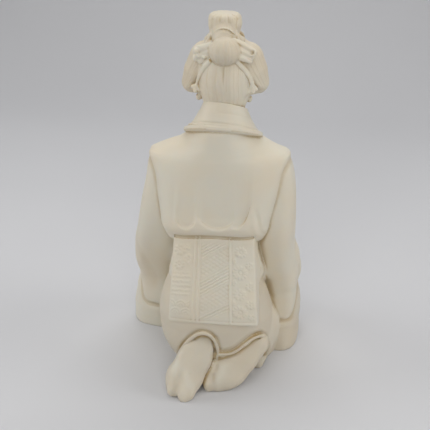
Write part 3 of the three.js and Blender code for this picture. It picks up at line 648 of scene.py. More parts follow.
SLEEVE_L = [
    [15.0, 53.0, -46, 3.0, 4, 12, 2.3],
    [17.0, 53.4, -45.6, 7.6, 9.4, 18, 3.0],
    [21, 53.2, -45, 9.6, 12.4, 21, 3.6],
    [26, 52.9, -44.6, 10.4, 13.2, 23, 4.0],
    [32, 52.6, -44.2, 10.8, 13.6, 25, 4.0],
    [42.6, 52.4, -42.4, 11.2, 14.0, 27, 3.8],
    [47.5, 51.8, -40.4, 11.6, 14.6, 28, 3.4],
    [53, 51.2, -38.0, 13.2, 15.2, 29, 3.0],
    [61, 49.6, -33.6, 14.9, 16.5, 31, 2.6],
    [73.5, 47.0, -25.7, 15.8, 17.5, 30, 2.4],
    [84, 44.6, -19, 16.2, 17.6, 26, 2.4],
    [95, 41.8, -13, 15.9, 17.2, 21, 2.4],
    [115, 38.6, -5.5, 14.4, 15.2, 17, 2.4],
    [136, 36.6, -2, 11.6, 11.4, 15, 2.4],
    [146, 35.8, -1, 10.9, 9.4, 13, 2.4],
    [150.0, 35.6, -1, 10.2, 7.8, 12, 2.4],
    [152.0, 34.6, -1, 8.4, 5.5, 9.5, 2.2],
    [154.0, 30, -1, 3, 5, 5, 2],
]
SLEEVE_R = [
    [21.4, -38.2, -28, 4.0, 4, 12, 2.4],
    [23.2, -38.3, -28, 6.6, 10.4, 20, 3.0],
    [27.0, -38.6, -27.8, 8.4, 13.6, 26, 3.6],
    [33, -38.9, -27.5, 9.4, 14.6, 29, 3.8],
    [41.0, -39.1, -27, 10.0, 15.0, 30, 3.6],
    [48, -39.0, -26, 10.3, 15.4, 31, 3.2],
    [54.5, -39.2, -24.2, 11.0, 16, 32, 2.8],
    [62, -38.6, -22, 12.0, 16.6, 32, 2.4],
    [67.7, -37.8, -19.6, 11.5, 17, 31, 2.4],
    [81.6, -36.4, -14, 11.5, 17.6, 28, 2.4],
    [94.7, -35.8, -9, 12.4, 17.6, 21, 2.4],
    [108, -35.8, -6, 12.6, 17, 18, 2.4],
    [122.8, -36, -3.3, 12.2, 14.0, 16, 2.4],
    [135.7, -36.2, -1.8, 11.1, 12.0, 15, 2.4],
    [148, -35.6, -1, 9.4, 9.6, 13, 2.4],
    [151.4, -34.8, -1, 8.8, 7.8, 12, 2.4],
    [153.6, -33.4, -1, 6.8, 5.5, 9.5, 2.2],
    [155.4, -29, -1, 3, 5, 5, 2],
]
WRAP_L = [
    [-3, 52.6, -52, 16.8, 15.4, 18, 2.6],
    [3, 52.6, -52, 17.8, 16.8, 20, 2.6],
    [14, 52.4, -51.8, 17.8, 17.4, 20.4, 2.5],
    [29, 51.6, -51.4, 16.0, 17.4, 20, 2.4],
    [38, 50.8, -50.6, 13.8, 17.0, 19, 2.3],
    [43, 49.6, -49.6, 11.0, 15.6, 17, 2.3],
    [47, 48.6, -48, 8, 13, 14, 2.2],
    [50, 48, -47, 4, 7, 8, 2],
]
WRAP_R = [
    [-3, -38.2, -38.6, 11.2, 22.4, 27, 2.5],
    [3, -38.2, -38.6, 12.3, 23.6, 29, 2.5],
    [14, -38.0, -38.4, 12.4, 23.0, 30, 2.4],
    [25, -38.1, -38, 12.6, 22.6, 30, 2.4],
    [34, -38.0, -37.4, 11.8, 22.4, 29, 2.4],
    [41.3, -37.8, -36.8, 10.7, 21.8, 28, 2.3],
    [47, -37.6, -36, 9.0, 20, 26, 2.3],
    [51.5, -37.6, -35, 6.0, 16, 22, 2.2],
    [54, -37.6, -34, 3, 8, 12, 2],
]


def slanted(spec, x0, z0, z1, slope):
    """The solid with its back drawn forward towards one side, fully so below z1."""
    f, lo, hi = spec

    def fn(P):
        x, y, z = P.T
        return f(np.stack([x, y + slope * (x - x0) * sstep(z0, z1, z), z], 1)) * 0.92

    return fn, lo - [0, 8, 0], hi + [0, 8, 0]


COLLAR = [
    [164, -2.6, 0, 15.0, 14.5, 12, 2.1],
    [167.2, -2.6, 0, 18.5, 17.4, 13, 2.1],
    [169.6, -2.5, 0, 23.0, 20.2, 14.6, 2.1],
    [170.8, -2.4, 0, 21.4, 20.0, 14.7, 2.1],
    [172.2, -2.4, 0.1, 20.0, 19.6, 14.4, 2.1],
    [174, -2.3, 0.2, 18.8, 18.9, 14, 2.05],
    [179, -2.5, 0.5, 16.2, 17.4, 13, 2],
    [184.4, -2.8, 0.8, 13.8, 16.0, 12, 2],
    [187.5, -2.8, 0.8, 12.9, 15.4, 11.4, 2],
]
COLLAR_LEAN = (0.05, 0.44, -2.8, 5.0)


def build():
    S = []

    def add(name, spec, k=1.0, cut=False):
        S.append(Solid(name, *spec, k=k, cut=cut))

    # seat: hips, thighs, and the robe gathered in under them
    add("skirt", loft(HIPS), 1)
    add("skirt", limb([17, -6, 25], 21, [20.5, -57, 23.5], 22.5), 9)
    add("skirt", limb([-15, -6, 25], 20.5, [-20.5, -57, 23.5], 22.5), 9)
    add("skirt", loft(LAP), 8)
    add("skirt", limb([-27.2, 7.4, 3.0], 3.4, [-26.4, -3, 9], 8), 3)
    # feet and rolled hem
    for foot in (FOOT_L, FOOT_R):
        for cut in foot["hollow"]:
            add("skirt_hollow", limb(*cut), 1.5, cut=True)
    for foot, first, last in ((FOOT_L, 2, 8), (FOOT_R, 1, 7)):
        beside = [[x, y + 2.5, z + 1.9] for x, y, z in foot["rim"][first:last]]
        add("trough", tube(beside, [2.7, 2.7], 40), 2.0, cut=True)
    for foot in (FOOT_L, FOOT_R):
        add("hem", tube([[x, y - 0.5, z - 0.1] for x, y, z in foot["rim"]], foot["rim_r"], 60), 0.9)
    for nm, foot in (("footL", FOOT_L), ("footR", FOOT_R)):
        parts = [(kind(*args), k) for kind, args, k in foot["solids"]]
        add(nm, flattened(merge(parts), *foot["plane"]), 0.35)
    # sash and flap
    add(
        "sash",
        loft(
            [
                [66, 2.2, 0.5, 30.0, 26.2, 22, 2.7],
                [71, 2.2, 1, 31.2, 27.4, 24.6, 2.8],
                [74, 2.0, 1, 30.8, 27.4, 25.4, 2.8],
                [82, 2.0, 1, 29.0, 26.0, 25.4, 2.8],
                [92, 1.6, 1, 27.2, 24.2, 25.2, 2.7],
                [104, 1.2, 0, 26.8, 22.5, 23.6, 2.6],
            ]
        ),
        0.8,
    )
    add("hollow", limb([-30.0, 10.0, 92], 2.6, [-31.0, 7.0, 67], 3.6), 2.0, cut=True)
    add("flap", flap_solid(), 1.0)
    # bodice
    add("bodice", bodice_solid(), 0.3)
    add("crease", crease_solid(), 0.5, cut=True)
    # sleeves
    add("wrapL", turned(loft(WRAP_L), (53, -52), -14), 1.0)
    add("wrapR", loft(WRAP_R), 1.0)
    add("sleeveL", slanted(loft(SLEEVE_L), 52.0, 64, 36, 0.20), 0.6)
    add("sleeveR", loft(SLEEVE_R), 0.6)
    add("armL", limb([45, -28, 73], 12.5, [23, -49, 63], 10), 4)
    add("armL", limb([46, -42, 56], 12, [29, -53, 53], 9.5), 5)
    add("armR", limb([-38, -20, 73], 12.5, [-22, -48, 63.5], 10), 4)
    add("armR", limb([-38, -34, 56], 12, [-27, -52, 53], 9.5), 5)
    add("armL", limb([27, -8, 100], 8, [31, -21, 72], 9), 4)
    add("armL", limb([32, -24, 72], 8, [36, -42, 50], 10), 4)
    add("armL", limb([36, -42, 50], 10, [38, -50, 30], 12), 4)
    add("armR", limb([-25, -7, 100], 9, [-28, -14, 70], 11), 4)
    add("armR", limb([-29, -20, 68], 10, [-31, -27, 44], 12), 4)
    add("armR", limb([-31, -27, 44], 12, [-31, -29, 20], 13), 3)
    for s, x0 in ((LEFT, 21.5), (RIGHT, -20.5)):
        c, ax = np.array([x0, -51.0, 61.5]), np.array([-s * 0.86, -0.42, -0.28])
        ax /= np.linalg.norm(ax)
        e1 = np.cross(ax, [0, 0, 1.0])
        e1 /= np.linalg.norm(e1)
        e2 = np.cross(ax, e1)
        ring = [list(c + 8.6 * (math.cos(t) * e1 + math.sin(t) * e2)) for t in np.linspace(0, 2 * math.pi, 25)]
        add("cuff", tube(ring, 1.3, 48), 0.6)
    # hands laid one over the other on the lap
    for s, dx, dy, dz in ((RIGHT, -2, -58.5, 52.5), (LEFT, 3, -60.5, 56.8)):
        add("hand", limb([s * 22, -55, 57.5 + (2 if s > 0 else 0)], 5.4, [dx + s * 11, dy + 1, dz], 5.0), 0.8)
        add("hand", ellipsoid([dx + s * 5.5, dy, dz], [8.6, 6.4, 3.6], (0, 0, -s * 10)), 1.6)
        for i in range(4):
            y0 = dy + 4.2 - 2.9 * i
            reach = (9.6, 11.4, 10.8, 8.4)[i]
            add("hand", limb([dx + s * 1.0, y0, dz + 0.2], 1.75, [dx - s * (reach - 4), y0 - 0.5, dz - 1.4], 1.5), 0.7)
            add("hand", limb([dx - s * (reach - 4), y0 - 0.5, dz - 1.4], 1.5, [dx - s * reach, y0 - 0.4, dz - 3.4], 1.2), 0.5)
        add("hand", limb([dx + s * 7, dy + 5, dz + 0.4], 2.2, [dx - s * 1.0, dy + 8.2, dz - 0.6], 1.5), 0.8)
    # collar standing away from the nape, open at the throat
    add("rim", leaned(loft(RIM), *RIM_LEAN), 0.3)
    add("collar", leaned(loft(COLLAR), *COLLAR_LEAN), 0.5)
    add("collar_in", leaned(loft([[172, -2.8, 1.0, 10.5, 9.5, 9, 2], [184, -2.8, 0.9, 12.4, 14.6, 11.6, 2], [193, -2.8, 0.8, 12.4, 15, 12.4, 2]]), *COLLAR_LEAN), 0.3, cut=True)
    top = [[184.6, -2.8, 2, 40, 40, 40, 2], [199, -2.8, 2, 40, 40, 40, 2]]
    add("collar_top", leaned(loft(top), 0.09, 0.44, -2.8, 5.0), 0.4, cut=True)

    def throat(P):
        x, y, z = P.T
        w = np.abs(x - HEAD_X) * 0.90 - (z - 150.5) * 0.40
        return np.maximum(w, y + 4.0)

    add("throat", (throat, (-20, -40, 148), (16, -4, 190)), 0.5, cut=True)
    add("neck", merge([(limb([HEAD_X, 0.5, 160], 9.6, [HEAD_X, -1.5, 190], 8.8), 0), (ellipsoid([HEAD_X, -2.5, 152], [17, 10.6, 15]), 6)]), 0.6)
    # head
    hx = HEAD_X
    add(
        "face",
        merge(
            [
                (ellipsoid([hx, -3.5, 204], [15.0, 17.2, 19.5]), 0),
                (ellipsoid([hx, -9.2, 194.2], [11.8, 12.0, 13.4], (-6, 0, 0)), 4),
                (ellipsoid([hx + 6.8, -14.2, 195.4], [5.2, 5.0, 6.4]), 3),
                (ellipsoid([hx - 6.8, -14.2, 195.4], [5.2, 5.0, 6.4]), 3),
                (ellipsoid([hx, -18.2, 184.6], [4.2, 3.4, 3.4]), 3),
            ]
        ),
        1.0,
    )
    for s in (LEFT, RIGHT):
        add("socket", ellipsoid([hx + s * 6.0, -21.6, 201.4], [4.6, 2.4, 2.3], (0, s * 6, s * 14)), 1.8, cut=True)
    for s in (LEFT, RIGHT):
        add("eye", ellipsoid([hx + s * 6.0, -16.9, 201.0], [3.5, 3.1, 2.3], (0, s * 5, s * 12)), 0.3)
        add("lid", tube([[hx + s * 2.5, -19.3, 200.2], [hx + s * 4.2, -20.25, 200.0], [hx + s * 6.1, -20.2, 199.6], [hx + s * 8.2, -19.2, 199.8], [hx + s * 9.8, -17.8, 200.6]], [0.25, 0.42, 0.45, 0.42, 0.3], 24), 0.25)
        add("lid", tube([[hx + s * 2.9, -19.7, 202.4], [hx + s * 5.6, -20.3, 203.9], [hx + s * 8.4, -19.0, 203.4], [hx + s * 10.0, -17.5, 202.0]], [0.15, 0.3, 0.3, 0.15], 24), 0.5)
        add("brow", tube([[hx + s * 2.9, -20.9, 206.0], [hx + s * 5.8, -20.6, 207.5], [hx + s * 9.0, -18.8, 207.4], [hx + s * 11.4, -16.6, 206.0]], [0.3, 0.5, 0.5, 0.2], 24), 0.9)
    add(
        "nose",
        merge(
            [
                (limb([hx, -20.0, 204.0], 1.25, [hx, -23.6, 195.6], 1.75), 0),
                (ellipsoid([hx, -23.6, 194.9], [2.0, 1.9, 1.6]), 1.2),
                (ellipsoid([hx + 2.0, -21.9, 194.2], [1.25, 1.6, 1.25]), 0.8),
                (ellipsoid([hx - 2.0, -21.9, 194.2], [1.25, 1.6, 1.25]), 0.8),
            ]
        ),
        1.5,
    )
    for s in (LEFT, RIGHT):
        add("nostril", ellipsoid([hx + s * 1.15, -22.9, 193.1], [0.55, 0.8, 0.5], (0, 0, 0)), 0.3, cut=True)
    add(
        "lips",
        merge(
            [
                (ellipsoid([hx + 1.35, -20.5, 189.9], [2.3, 1.5, 0.85], (0, 14, 0)), 0),
                (ellipsoid([hx - 1.35, -20.5, 189.9], [2.3, 1.5, 0.85], (0, -14, 0)), 0.5),
            ]
        ),
        0.6,
    )
    add("mouth", tube([[hx - 3.9, -19.8, 189.35], [hx - 1.6, -21.9, 189.0], [hx, -22.1, 189.15], [hx + 1.6, -21.9, 189.0], [hx + 3.9, -19.8, 189.35]], [0.2, 0.32, 0.32, 0.2], 24), 0.35, cut=True)
    add("lips", ellipsoid([hx, -20.4, 187.9], [2.7, 1.6, 1.0]), 0.5)
    add("philtrum", limb([hx, -22.9, 192.6], 0.5, [hx, -22.5, 190.9], 0.6), 0.7, cut=True)
    # hair
    add(
        "nape",
        loft(
            [
                [176, -2.8, 0, 11.0, 11.5, 8, 2.1],
                [183, -2.8, 0, 12.6, 13.4, 8, 2.1],
                [189, -2.8, 0, 14.6, 16.2, 8, 2.1],
                [195, -2.6, 0, 16.0, 18.4, 8, 2.1],
                [202, -2.4, 0, 16.6, 19.4, 10, 2.1],
                [210, -2.2, 0, 16.0, 18.2, 10, 2.1],
                [218, -2.2, 0, 13.4, 14.6, 10, 2.1],
                [223, -2.2, 0, 9.0, 10, 8, 2],
            ]
        ),
        0.5,
    )
    wing = merge([(limb([18.2, -4, 196.2], 6.8, [14.8, -4.5, 203.6], 8.8), 0), (limb([14.8, -4.5, 203.6], 8.8, [10.2, -5, 211.2], 10.2), 0.3)])
    add("wingL", flattened(stretched(wing, [0, -4, 200], [1, 1.42, 1]), [18.2, -1, 196.2], [0.15, 0.62, -0.77], 5.9, 1.2), 0.8)
    wing = merge([(limb([-22.3, -4, 197.6], 7.0, [-18.6, -4.5, 204.4], 9.4), 0), (limb([-18.6, -4.5, 204.4], 9.4, [-15.0, -5, 210.9], 10.6), 0.3)])
    add("wingR", flattened(stretched(wing, [0, -4, 200], [1, 1.42, 1]), [-22.3, -1, 197.6], [-0.12, 0.66, -0.74], 4.9, 0.8), 0.8)
    add("front", ellipsoid([hx, -9, 216.5], [15.0, 13.0, 9.6], (14, 0, 0)), 1.2)
    add("front", stretched(limb([hx + 11.5, -10, 211.6], 5.4, [hx - 11.5, -10, 211.6], 5.4), [hx, -10, 211.6], [1, 1.35, 0.95]), 2)
    add("crown", ellipsoid([hx + 0.6, 0, 218.6], [13.5, 14, 8.6]), 1.5)
    add("tie", merge([(limb([-2.7, 7.0, 226.0], 7.0, [-2.2, 1, 229.5], 7.8), 0)]), 0.6)
    add("tiecord", tube([[3.4, 6.5, 228.4], [2.2, 9.0, 230.6], [0.2, 9.6, 232.4], [-3.0, 9.9, 233.4], [-6.2, 9.6, 232.6], [-8.2, 9.0, 231.0], [-9.2, 6.5, 228.9]], 0.65, 30), 0.25)
    add("tiecord", tube([[3.0, 8.0, 227.4], [1.4, 10.6, 229.4], [-3.0, 11.6, 231.2], [-7.4, 10.6, 229.7], [-8.8, 8.0, 227.7]], 0.5, 24), 0.25)
    add("bun", ellipsoid([-4.2, 14, 220.5], [9.5, 9.0, 8.4]), 0.3)
    add(
        "knot",
        loft(
            [
                [222, -1.8, -3, 7.5, 8, 10, 2.2],
                [228, -1.9, -3, 9.0, 9, 12, 2.5],
                [233, -2.0, -3, 10.1, 9.4, 13, 2.6],
                [236.6, -1.8, -3, 9.8, 9.2, 12.6, 2.5],
                [238.9, -1.5, -3, 8.5, 8.0, 9.6, 2.4],
                [240, -1.2, -3, 5.2, 5.2, 4.6, 2.3],
            ]
        ),
        0.4,
    )
    add("nape", limb([-13.4, 9.6, 206], 3.4, [-15.2, 8.4, 194.4], 3.2), 2.0)
    add("nape", limb([-16.4, 7.6, 204], 3.2, [-17.2, 6.8, 195.6], 2.6), 1.5)
    # comb set before the knot, and the ends of the ribbon that ties it
    add("comb", stretched(ellipsoid([hx, -15.5, 222.0], [10.4, 1.7, 7.0], (-18, 0, 0)), [hx, -15, 222], [1, 1, 1]), 0.4)
    for s, x0 in ((LEFT, 6.2), (RIGHT, -11.0)):
        add("tuft", limb([x0 - s * 1.7, 3.6, 229.6], 1.1, [x0 + s * 1.8, 2.4, 224.6], 2.0), 1.2)
        add("tuft", limb([x0 - s * 0.8, 5.6, 228.0], 0.9, [x0 + s * 1.2, 6.0, 222.4], 1.5), 0.9)
        add("nape", limb([x0 + s * 3.0, 0, 206], 7.0, [x0 + s * 6.0, -2, 195], 5.6), 2.0)
    for s, x0 in ((LEFT, 13.8), (RIGHT, -16.9)):
        add("ear", ellipsoid([x0 - s * 0.8, -2.5, 190.5], [2.0, 3.2, 5.2], (0, 0, s * 10)), 0.8)
        add("ear", ellipsoid([x0 + s * 0.5, -2.4, 186.9], [1.8, 2.3, 2.2]), 0.5)
    # bows and hanging cords
    add("bow", strap([[-7.5, 12.6, 223.8], [-12.2, 13.4, 221.9], [-16.6, 12.8, 219.6], [-20.6, 11.2, 217.2]], [[-0.1, 1, 0.25], [-0.2, 1, 0.3], [-0.35, 1, 0.3], [-0.5, 1, 0.2]], [5.0, 5.5, 5.2, 4.6], 1.25, 30, edge=0.5, folds=3.0, depth=0.4), 0.3)
    pleats = merge(
        [
            (limb([4.5, 12.8, 223.0], 2.3, [12.4, 10.8, 220.0], 2.7), 0),
            (limb([5.0, 13.2, 219.6], 2.1, [13.0, 10.8, 215.6], 2.4), 0.5),
            (limb([5.0, 13.6, 216.8], 1.7, [10.6, 11.8, 213.4], 1.9), 0.5),
            (ellipsoid([14.0, 10.4, 219.2], [1.5, 1.6, 2.2], (0, 0, 0)), 0.8),
            (ellipsoid([13.8, 10.6, 214.6], [1.4, 1.6, 1.9], (0, 0, 0)), 0.8),
        ]
    )
    add("bow", stretched(pleats, [8, 12, 218], [1, 0.62, 1]), 0.3)
    # gathered ends of the bows
    for c, r in (([12.6, 12.9, 219.9], [1.9, 1.3, 1.7]), ([11.3, 13.0, 216.9], [2.1, 1.4, 1.5]), ([8.1, 13.3, 216.3], [1.7, 1.3, 1.3])):
        add("bow", ellipsoid(c, r), 0.5)
    curl = np.linspace(0, 2 * np.pi, 13)
    add("bow", tube([[-20.3 + 1.9 * math.cos(a), 12.5 - 0.7 * math.sin(a), 220.0 + 1.7 * math.sin(a)] for a in curl], 0.7, 36), 0.4)
    add("cord", strap([[4.4, 15.7, 214.6], [7.8, 14.8, 210.6], [9.9, 13.6, 207.0], [11.6, 12.0, 203.4], [12.9, 10.0, 200.0], [13.6, 9.0, 197.6]], [[0.2, 1, 0.1], [0.4, 1, 0.1], [0.5, 1, 0.1], [0.5, 1, 0.1], [0.5, 1, 0], [0.5, 1, 0]], [1.4, 1.5, 1.4, 1.3, 1.2, 1.2], 1.0, 30, edge=0.5, bow=-0.4), 0.25)
    add("cord", merge([(limb([13.6, 9.0, 197.8], 1.2, [15.8, 8.2, 196.2], 1.5), 0), (limb([13.8, 8.8, 197.2], 1.3, [14.2, 8.4, 194.0], 1.6), 0.3), (limb([13.2, 9.2, 197.2], 1.0, [11.9, 9.6, 195.2], 1.2), 0.3)]), 0.3)
    add("cord", strap([[-10.4, 15.0, 216.4], [-13.4, 13.6, 212.8], [-16.4, 11.6, 208.6], [-18.8, 10.4, 204.4], [-20.2, 9.2, 200.4]], [[-0.2, 1, 0.1], [-0.4, 1, 0.1], [-0.5, 1, 0.1], [-0.5, 1, 0.1], [-0.5, 1, 0]], [1.5, 1.7, 1.6, 1.5, 1.5], 1.0, 30, edge=0.5, bow=-0.4), 0.25)
    add("cord", merge([(limb([-20.2, 9.2, 200.6], 1.4, [-20.4, 8.6, 195.4], 1.9), 0), (limb([-20.8, 8.8, 199.4], 1.0, [-22.4, 7.8, 196.4], 1.4), 0.3), (limb([-19.6, 9.4, 199.0], 1.0, [-18.2, 9.4, 195.0], 1.3), 0.3)]), 0.3)
    # sash cord, its knot and the edge of the sash scarf at the front
    add("sashcord", stretched(tube([[-26.6, -4, 88], [-22, -18, 88], [-10, -25.4, 88], [2, -26.6, 88], [14, -25.2, 88], [24.6, -18, 88], [29.6, -4, 88]], 1.9, 40), [1.6, 0, 88], [1, 1, 1]), 0.4)
    add("sashcord", merge([(ellipsoid([1.6, -27.4, 88], [4.6, 2.4, 3.0]), 0), (limb([-1.4, -27.6, 88.6], 1.7, [-6.0, -26.4, 83.2], 1.2), 0.5), (limb([4.6, -27.6, 88.6], 1.7, [9.2, -26.2, 83.4], 1.2), 0.5)]), 0.4)
    add("scarf", tube([[-26, -8, 105.5], [-18, -20, 106], [-8, -25.6, 106.2], [1.6, -27, 105.6], [11, -25.6, 106.2], [21, -20, 106], [29, -8, 105.5]], [2.0, 2.6, 2.8, 3.2, 2.8, 2.6, 2.0], 40), 0.8)
    add("floor", slab([-200, -200, -60], [200, 200, 0.0], 0.05), 0.6, cut=True)
    return S

# ------------------------------------------------------------------ carved relief
def hash3(i, j, k, seed):
    n = (i * 374761393 + j * 668265263 + k * 2147483647 + seed * 144665) & 0x7FFFFFFF
    n = ((n ^ (n >> 13)) * 1274126177) & 0x7FFFFFFF
    return ((n ^ (n >> 16)) & 0xFFFF) / 65535.0


def noise(P, size, seed=1):
    """Smooth noise from -1 to 1 with features of about the given size."""
    q = P / size
    i = np.floor(q).astype(np.int64)
    f = q - i
    f = f * f * (3 - 2 * f)
    out = 0.0
    for a in (0, 1):
        for b in (0, 1):
            for c in (0, 1):
                w = (f[:, 0] if a else 1 - f[:, 0]) * (f[:, 1] if b else 1 - f[:, 1]) * (f[:, 2] if c else 1 - f[:, 2])
                out = out + w * hash3(i[:, 0] + a, i[:, 1] + b, i[:, 2] + c, seed)
    return 2 * out - 1


def strands(s, pitch, seed=0, along=None):
    """Uneven parallel hair grooves across the coordinate s, from -1 in a groove to 0 on a strand."""
    s = s / pitch
    if along is not None:
        s = s + 0.22 * np.sin(along * 0.23 + seed)
    w = s + 0.33 * np.sin(s * 1.31 + seed) + 0.21 * np.sin(s * 0.47 + 2.1 * seed)
    fine = np.abs(np.sin(np.pi * w))
    broad = np.abs(np.sin(np.pi * w / 3.7 + seed))
    return -(0.62 * (1 - fine) ** 1.6 + 0.62 * (1 - broad) ** 2.2)


def rosette(u, v, R, petals, turn=0.0):
    r = np.hypot(u, v)
    th = np.arctan2(v, u) + turn
    leaf = 0.35 + 0.65 * np.abs(np.cos(th * petals / 2)) ** 0.7
    h = sstep(R, R - 0.8, r / np.maximum(0.80 + 0.20 * np.abs(np.cos(th * petals / 2)), 0.1)) * leaf
    h = h * sstep(0.26 * R, 0.40 * R, r) + 0.9 * sstep(0.26 * R, 0.14 * R, r)
    return h


FLAP_W, COLUMN_A, COLUMN_B, COLUMN_C = 55.0, 15.4, 19.4, 39.2


def flap_pattern(s, v):
    """Woven pattern of the sash flap; s runs to the right edge as seen from behind, v up from the lower edge."""
    h = np.zeros(len(s))
    # centre: slanting stripes that alternate with lattice
    w = v - 0.60 * (s - COLUMN_B)
    across = w * 0.857
    block = (w - 6.0) / 12.0
    odd = (np.floor(block) % 2 == 1).astype(float)
    stripes = np.cos(2 * np.pi * across / 1.85)
    other = (v + 0.60 * (s - COLUMN_B)) * 0.857
    lattice = -np.maximum(bell((across + 40) % 2.3 - 1.15, 0.42), bell((other + 40) % 2.3 - 1.15, 0.42))
    edge_ = np.abs(block - np.round(block)) * 12.0
    centre = np.where(odd > 0, 0.24 * stripes, 0.26 * lattice) * sstep(0.25, 0.8, edge_) * sstep(4.0, 7.0, w + 6) * sstep(3.0, 5.0, v) * sstep(56, 53, v)
    mid = sstep(COLUMN_B + 0.5, COLUMN_B + 1.0, s) * sstep(COLUMN_C - 0.7, COLUMN_C - 1.2, s)
    h += centre * mid
    # fillets between the columns
    for c, a in ((COLUMN_A + 0.6, 0.32), (COLUMN_B - 0.7, 0.32), (COLUMN_C, 0.3)):
        h += a * sstep(0.75, 0.4, np.abs(s - c))
    for c in (COLUMN_A - 0.6, COLUMN_A + 1.9, COLUMN_B + 0.5, COLUMN_C - 1.1, COLUMN_C + 1.1):
        h -= 0.2 * bell(s - c, 0.45)
    # left column: blossoms above, key bars in the middle, fans below
    left = sstep(0.8, 1.4, s) * sstep(COLUMN_A - 1.2, COLUMN_A - 1.8, s)
    g = np.zeros(len(s))
    for cu, cv, R, n in ((5.6, 50.0, 4.6, 8), (11.6, 43.5, 3.6, 6), (5.4, 39.8, 3.8, 8), (11.6, 51.6, 2.6, 5)):
        g = np.maximum(g, 0.42 * rosette(s - cu, v - cv, R, n, cv))
    bars = 0.30 * sstep(0.1, 0.45, np.cos(2 * np.pi * v / 2.9)) * sstep(0.35, 0.75, np.abs(((s + np.floor(v / 2.9) * 3.3) % 6.6) - 3.3))
    g = np.where((v > 20) & (v < 34.5), bars, g)
    for cu, cv in ((4.4, 7.2), (11.2, 7.2), (7.8, 12.6), (1.0, 12.6), (14.6, 12.6)):
        r = np.hypot(s - cu, v - cv)
        fan = 0.32 * sstep(0.0, 0.5, np.cos(2 * np.pi * r / 1.75)) * sstep(4.6, 4.1, r) * (v >= cv - 0.3)
        g = np.where((v < 19) & (v > 5.6), np.maximum(g, fan), g)
    h += g * left
    # right column: chrysanthemums and small sprays
    right = sstep(COLUMN_C + 1.0, COLUMN_C + 1.6, s) * sstep(FLAP_W - 0.6, FLAP_W - 1.2, s)
    g = np.zeros(len(s))
    for cu, cv, R, n in (
        (45.0, 10.2, 5.0, 12),
        (51.6, 15.6, 3.4, 8),
        (45.2, 22.2, 4.2, 10),
        (51.4, 27.4, 3.2, 8),
        (45.4, 36.0, 5.0, 12),
        (51.6, 40.6, 3.0, 8),
        (46.0, 49.4, 4.2, 10),
        (52.0, 6.6, 2.6, 6),
        (41.6, 29.4, 2.0, 5),
        (41.4, 16.4, 1.8, 5),
        (41.6, 43.4, 1.9, 5),
    ):
        g = np.maximum(g, 0.46 * rosette(s - cu, v - cv, R, n, 0.6 * cv))
    h += g * right
    # plain border along the lower edge
    h -= 0.30 * bell(v - 3.0, 0.5)
    return h


def axis_angle(P, a, b):
    """Angle round the axis from a to b, and the share of the way along it."""
    a, b = np.array(a, float), np.array(b, float)
    t = (b - a) / np.linalg.norm(b - a)
    e1 = np.cross(t, [0.0, 1.0, 0.0])
    e1 /= np.linalg.norm(e1)
    e2 = np.cross(t, e1)
    q = P - a
    return np.arctan2(q @ e2, q @ e1), (q @ t) / np.linalg.norm(b - a)


NAMES = (
    "skirt hem footL footR sash flap bodice wrapL wrapR sleeveL sleeveR armL armR cuff hand rim collar neck face nape wingL wingR "
    "front crown tie tiecord bun knot comb tuft bow cord sashcord scarf"
).split()


SOLES = (
    # foot, (x, y, radius, height) of soft rises seen from behind and above
    ("footL", ((22.4, 47.0, 3.4, 1.1), (18.9, 50.4, 1.7, -0.7), (14.6, 50.6, 4.2, 0.9), (20.0, 41.5, 4.0, 0.7), (13.0, 43.0, 3.6, -0.9),
               (24.9, 53.2, 2.4, 0.7), (15.8, 55.6, 2.8, 0.8), (20.6, 53.8, 1.5, -0.5), (10.2, 52.6, 2.4, 0.6))),
    ("footR", ((0.4, 35.0, 2.8, 1.1), (-2.6, 37.2, 1.4, -0.9), (-6.6, 38.0, 4.0, 0.8), (-4.4, 31.6, 3.0, -0.8), (-13.0, 30.5, 4.5, 0.6),
               (2.0, 42.0, 2.2, 0.7), (-1.0, 40.6, 1.2, -0.8), (-4.2, 41.6, 2.4, 0.6))),
)


def tags_at(solids, P):
    tags = {n: np.full(len(P), 30.0) for n in NAMES}
    field(solids, P, tags)
    return tags


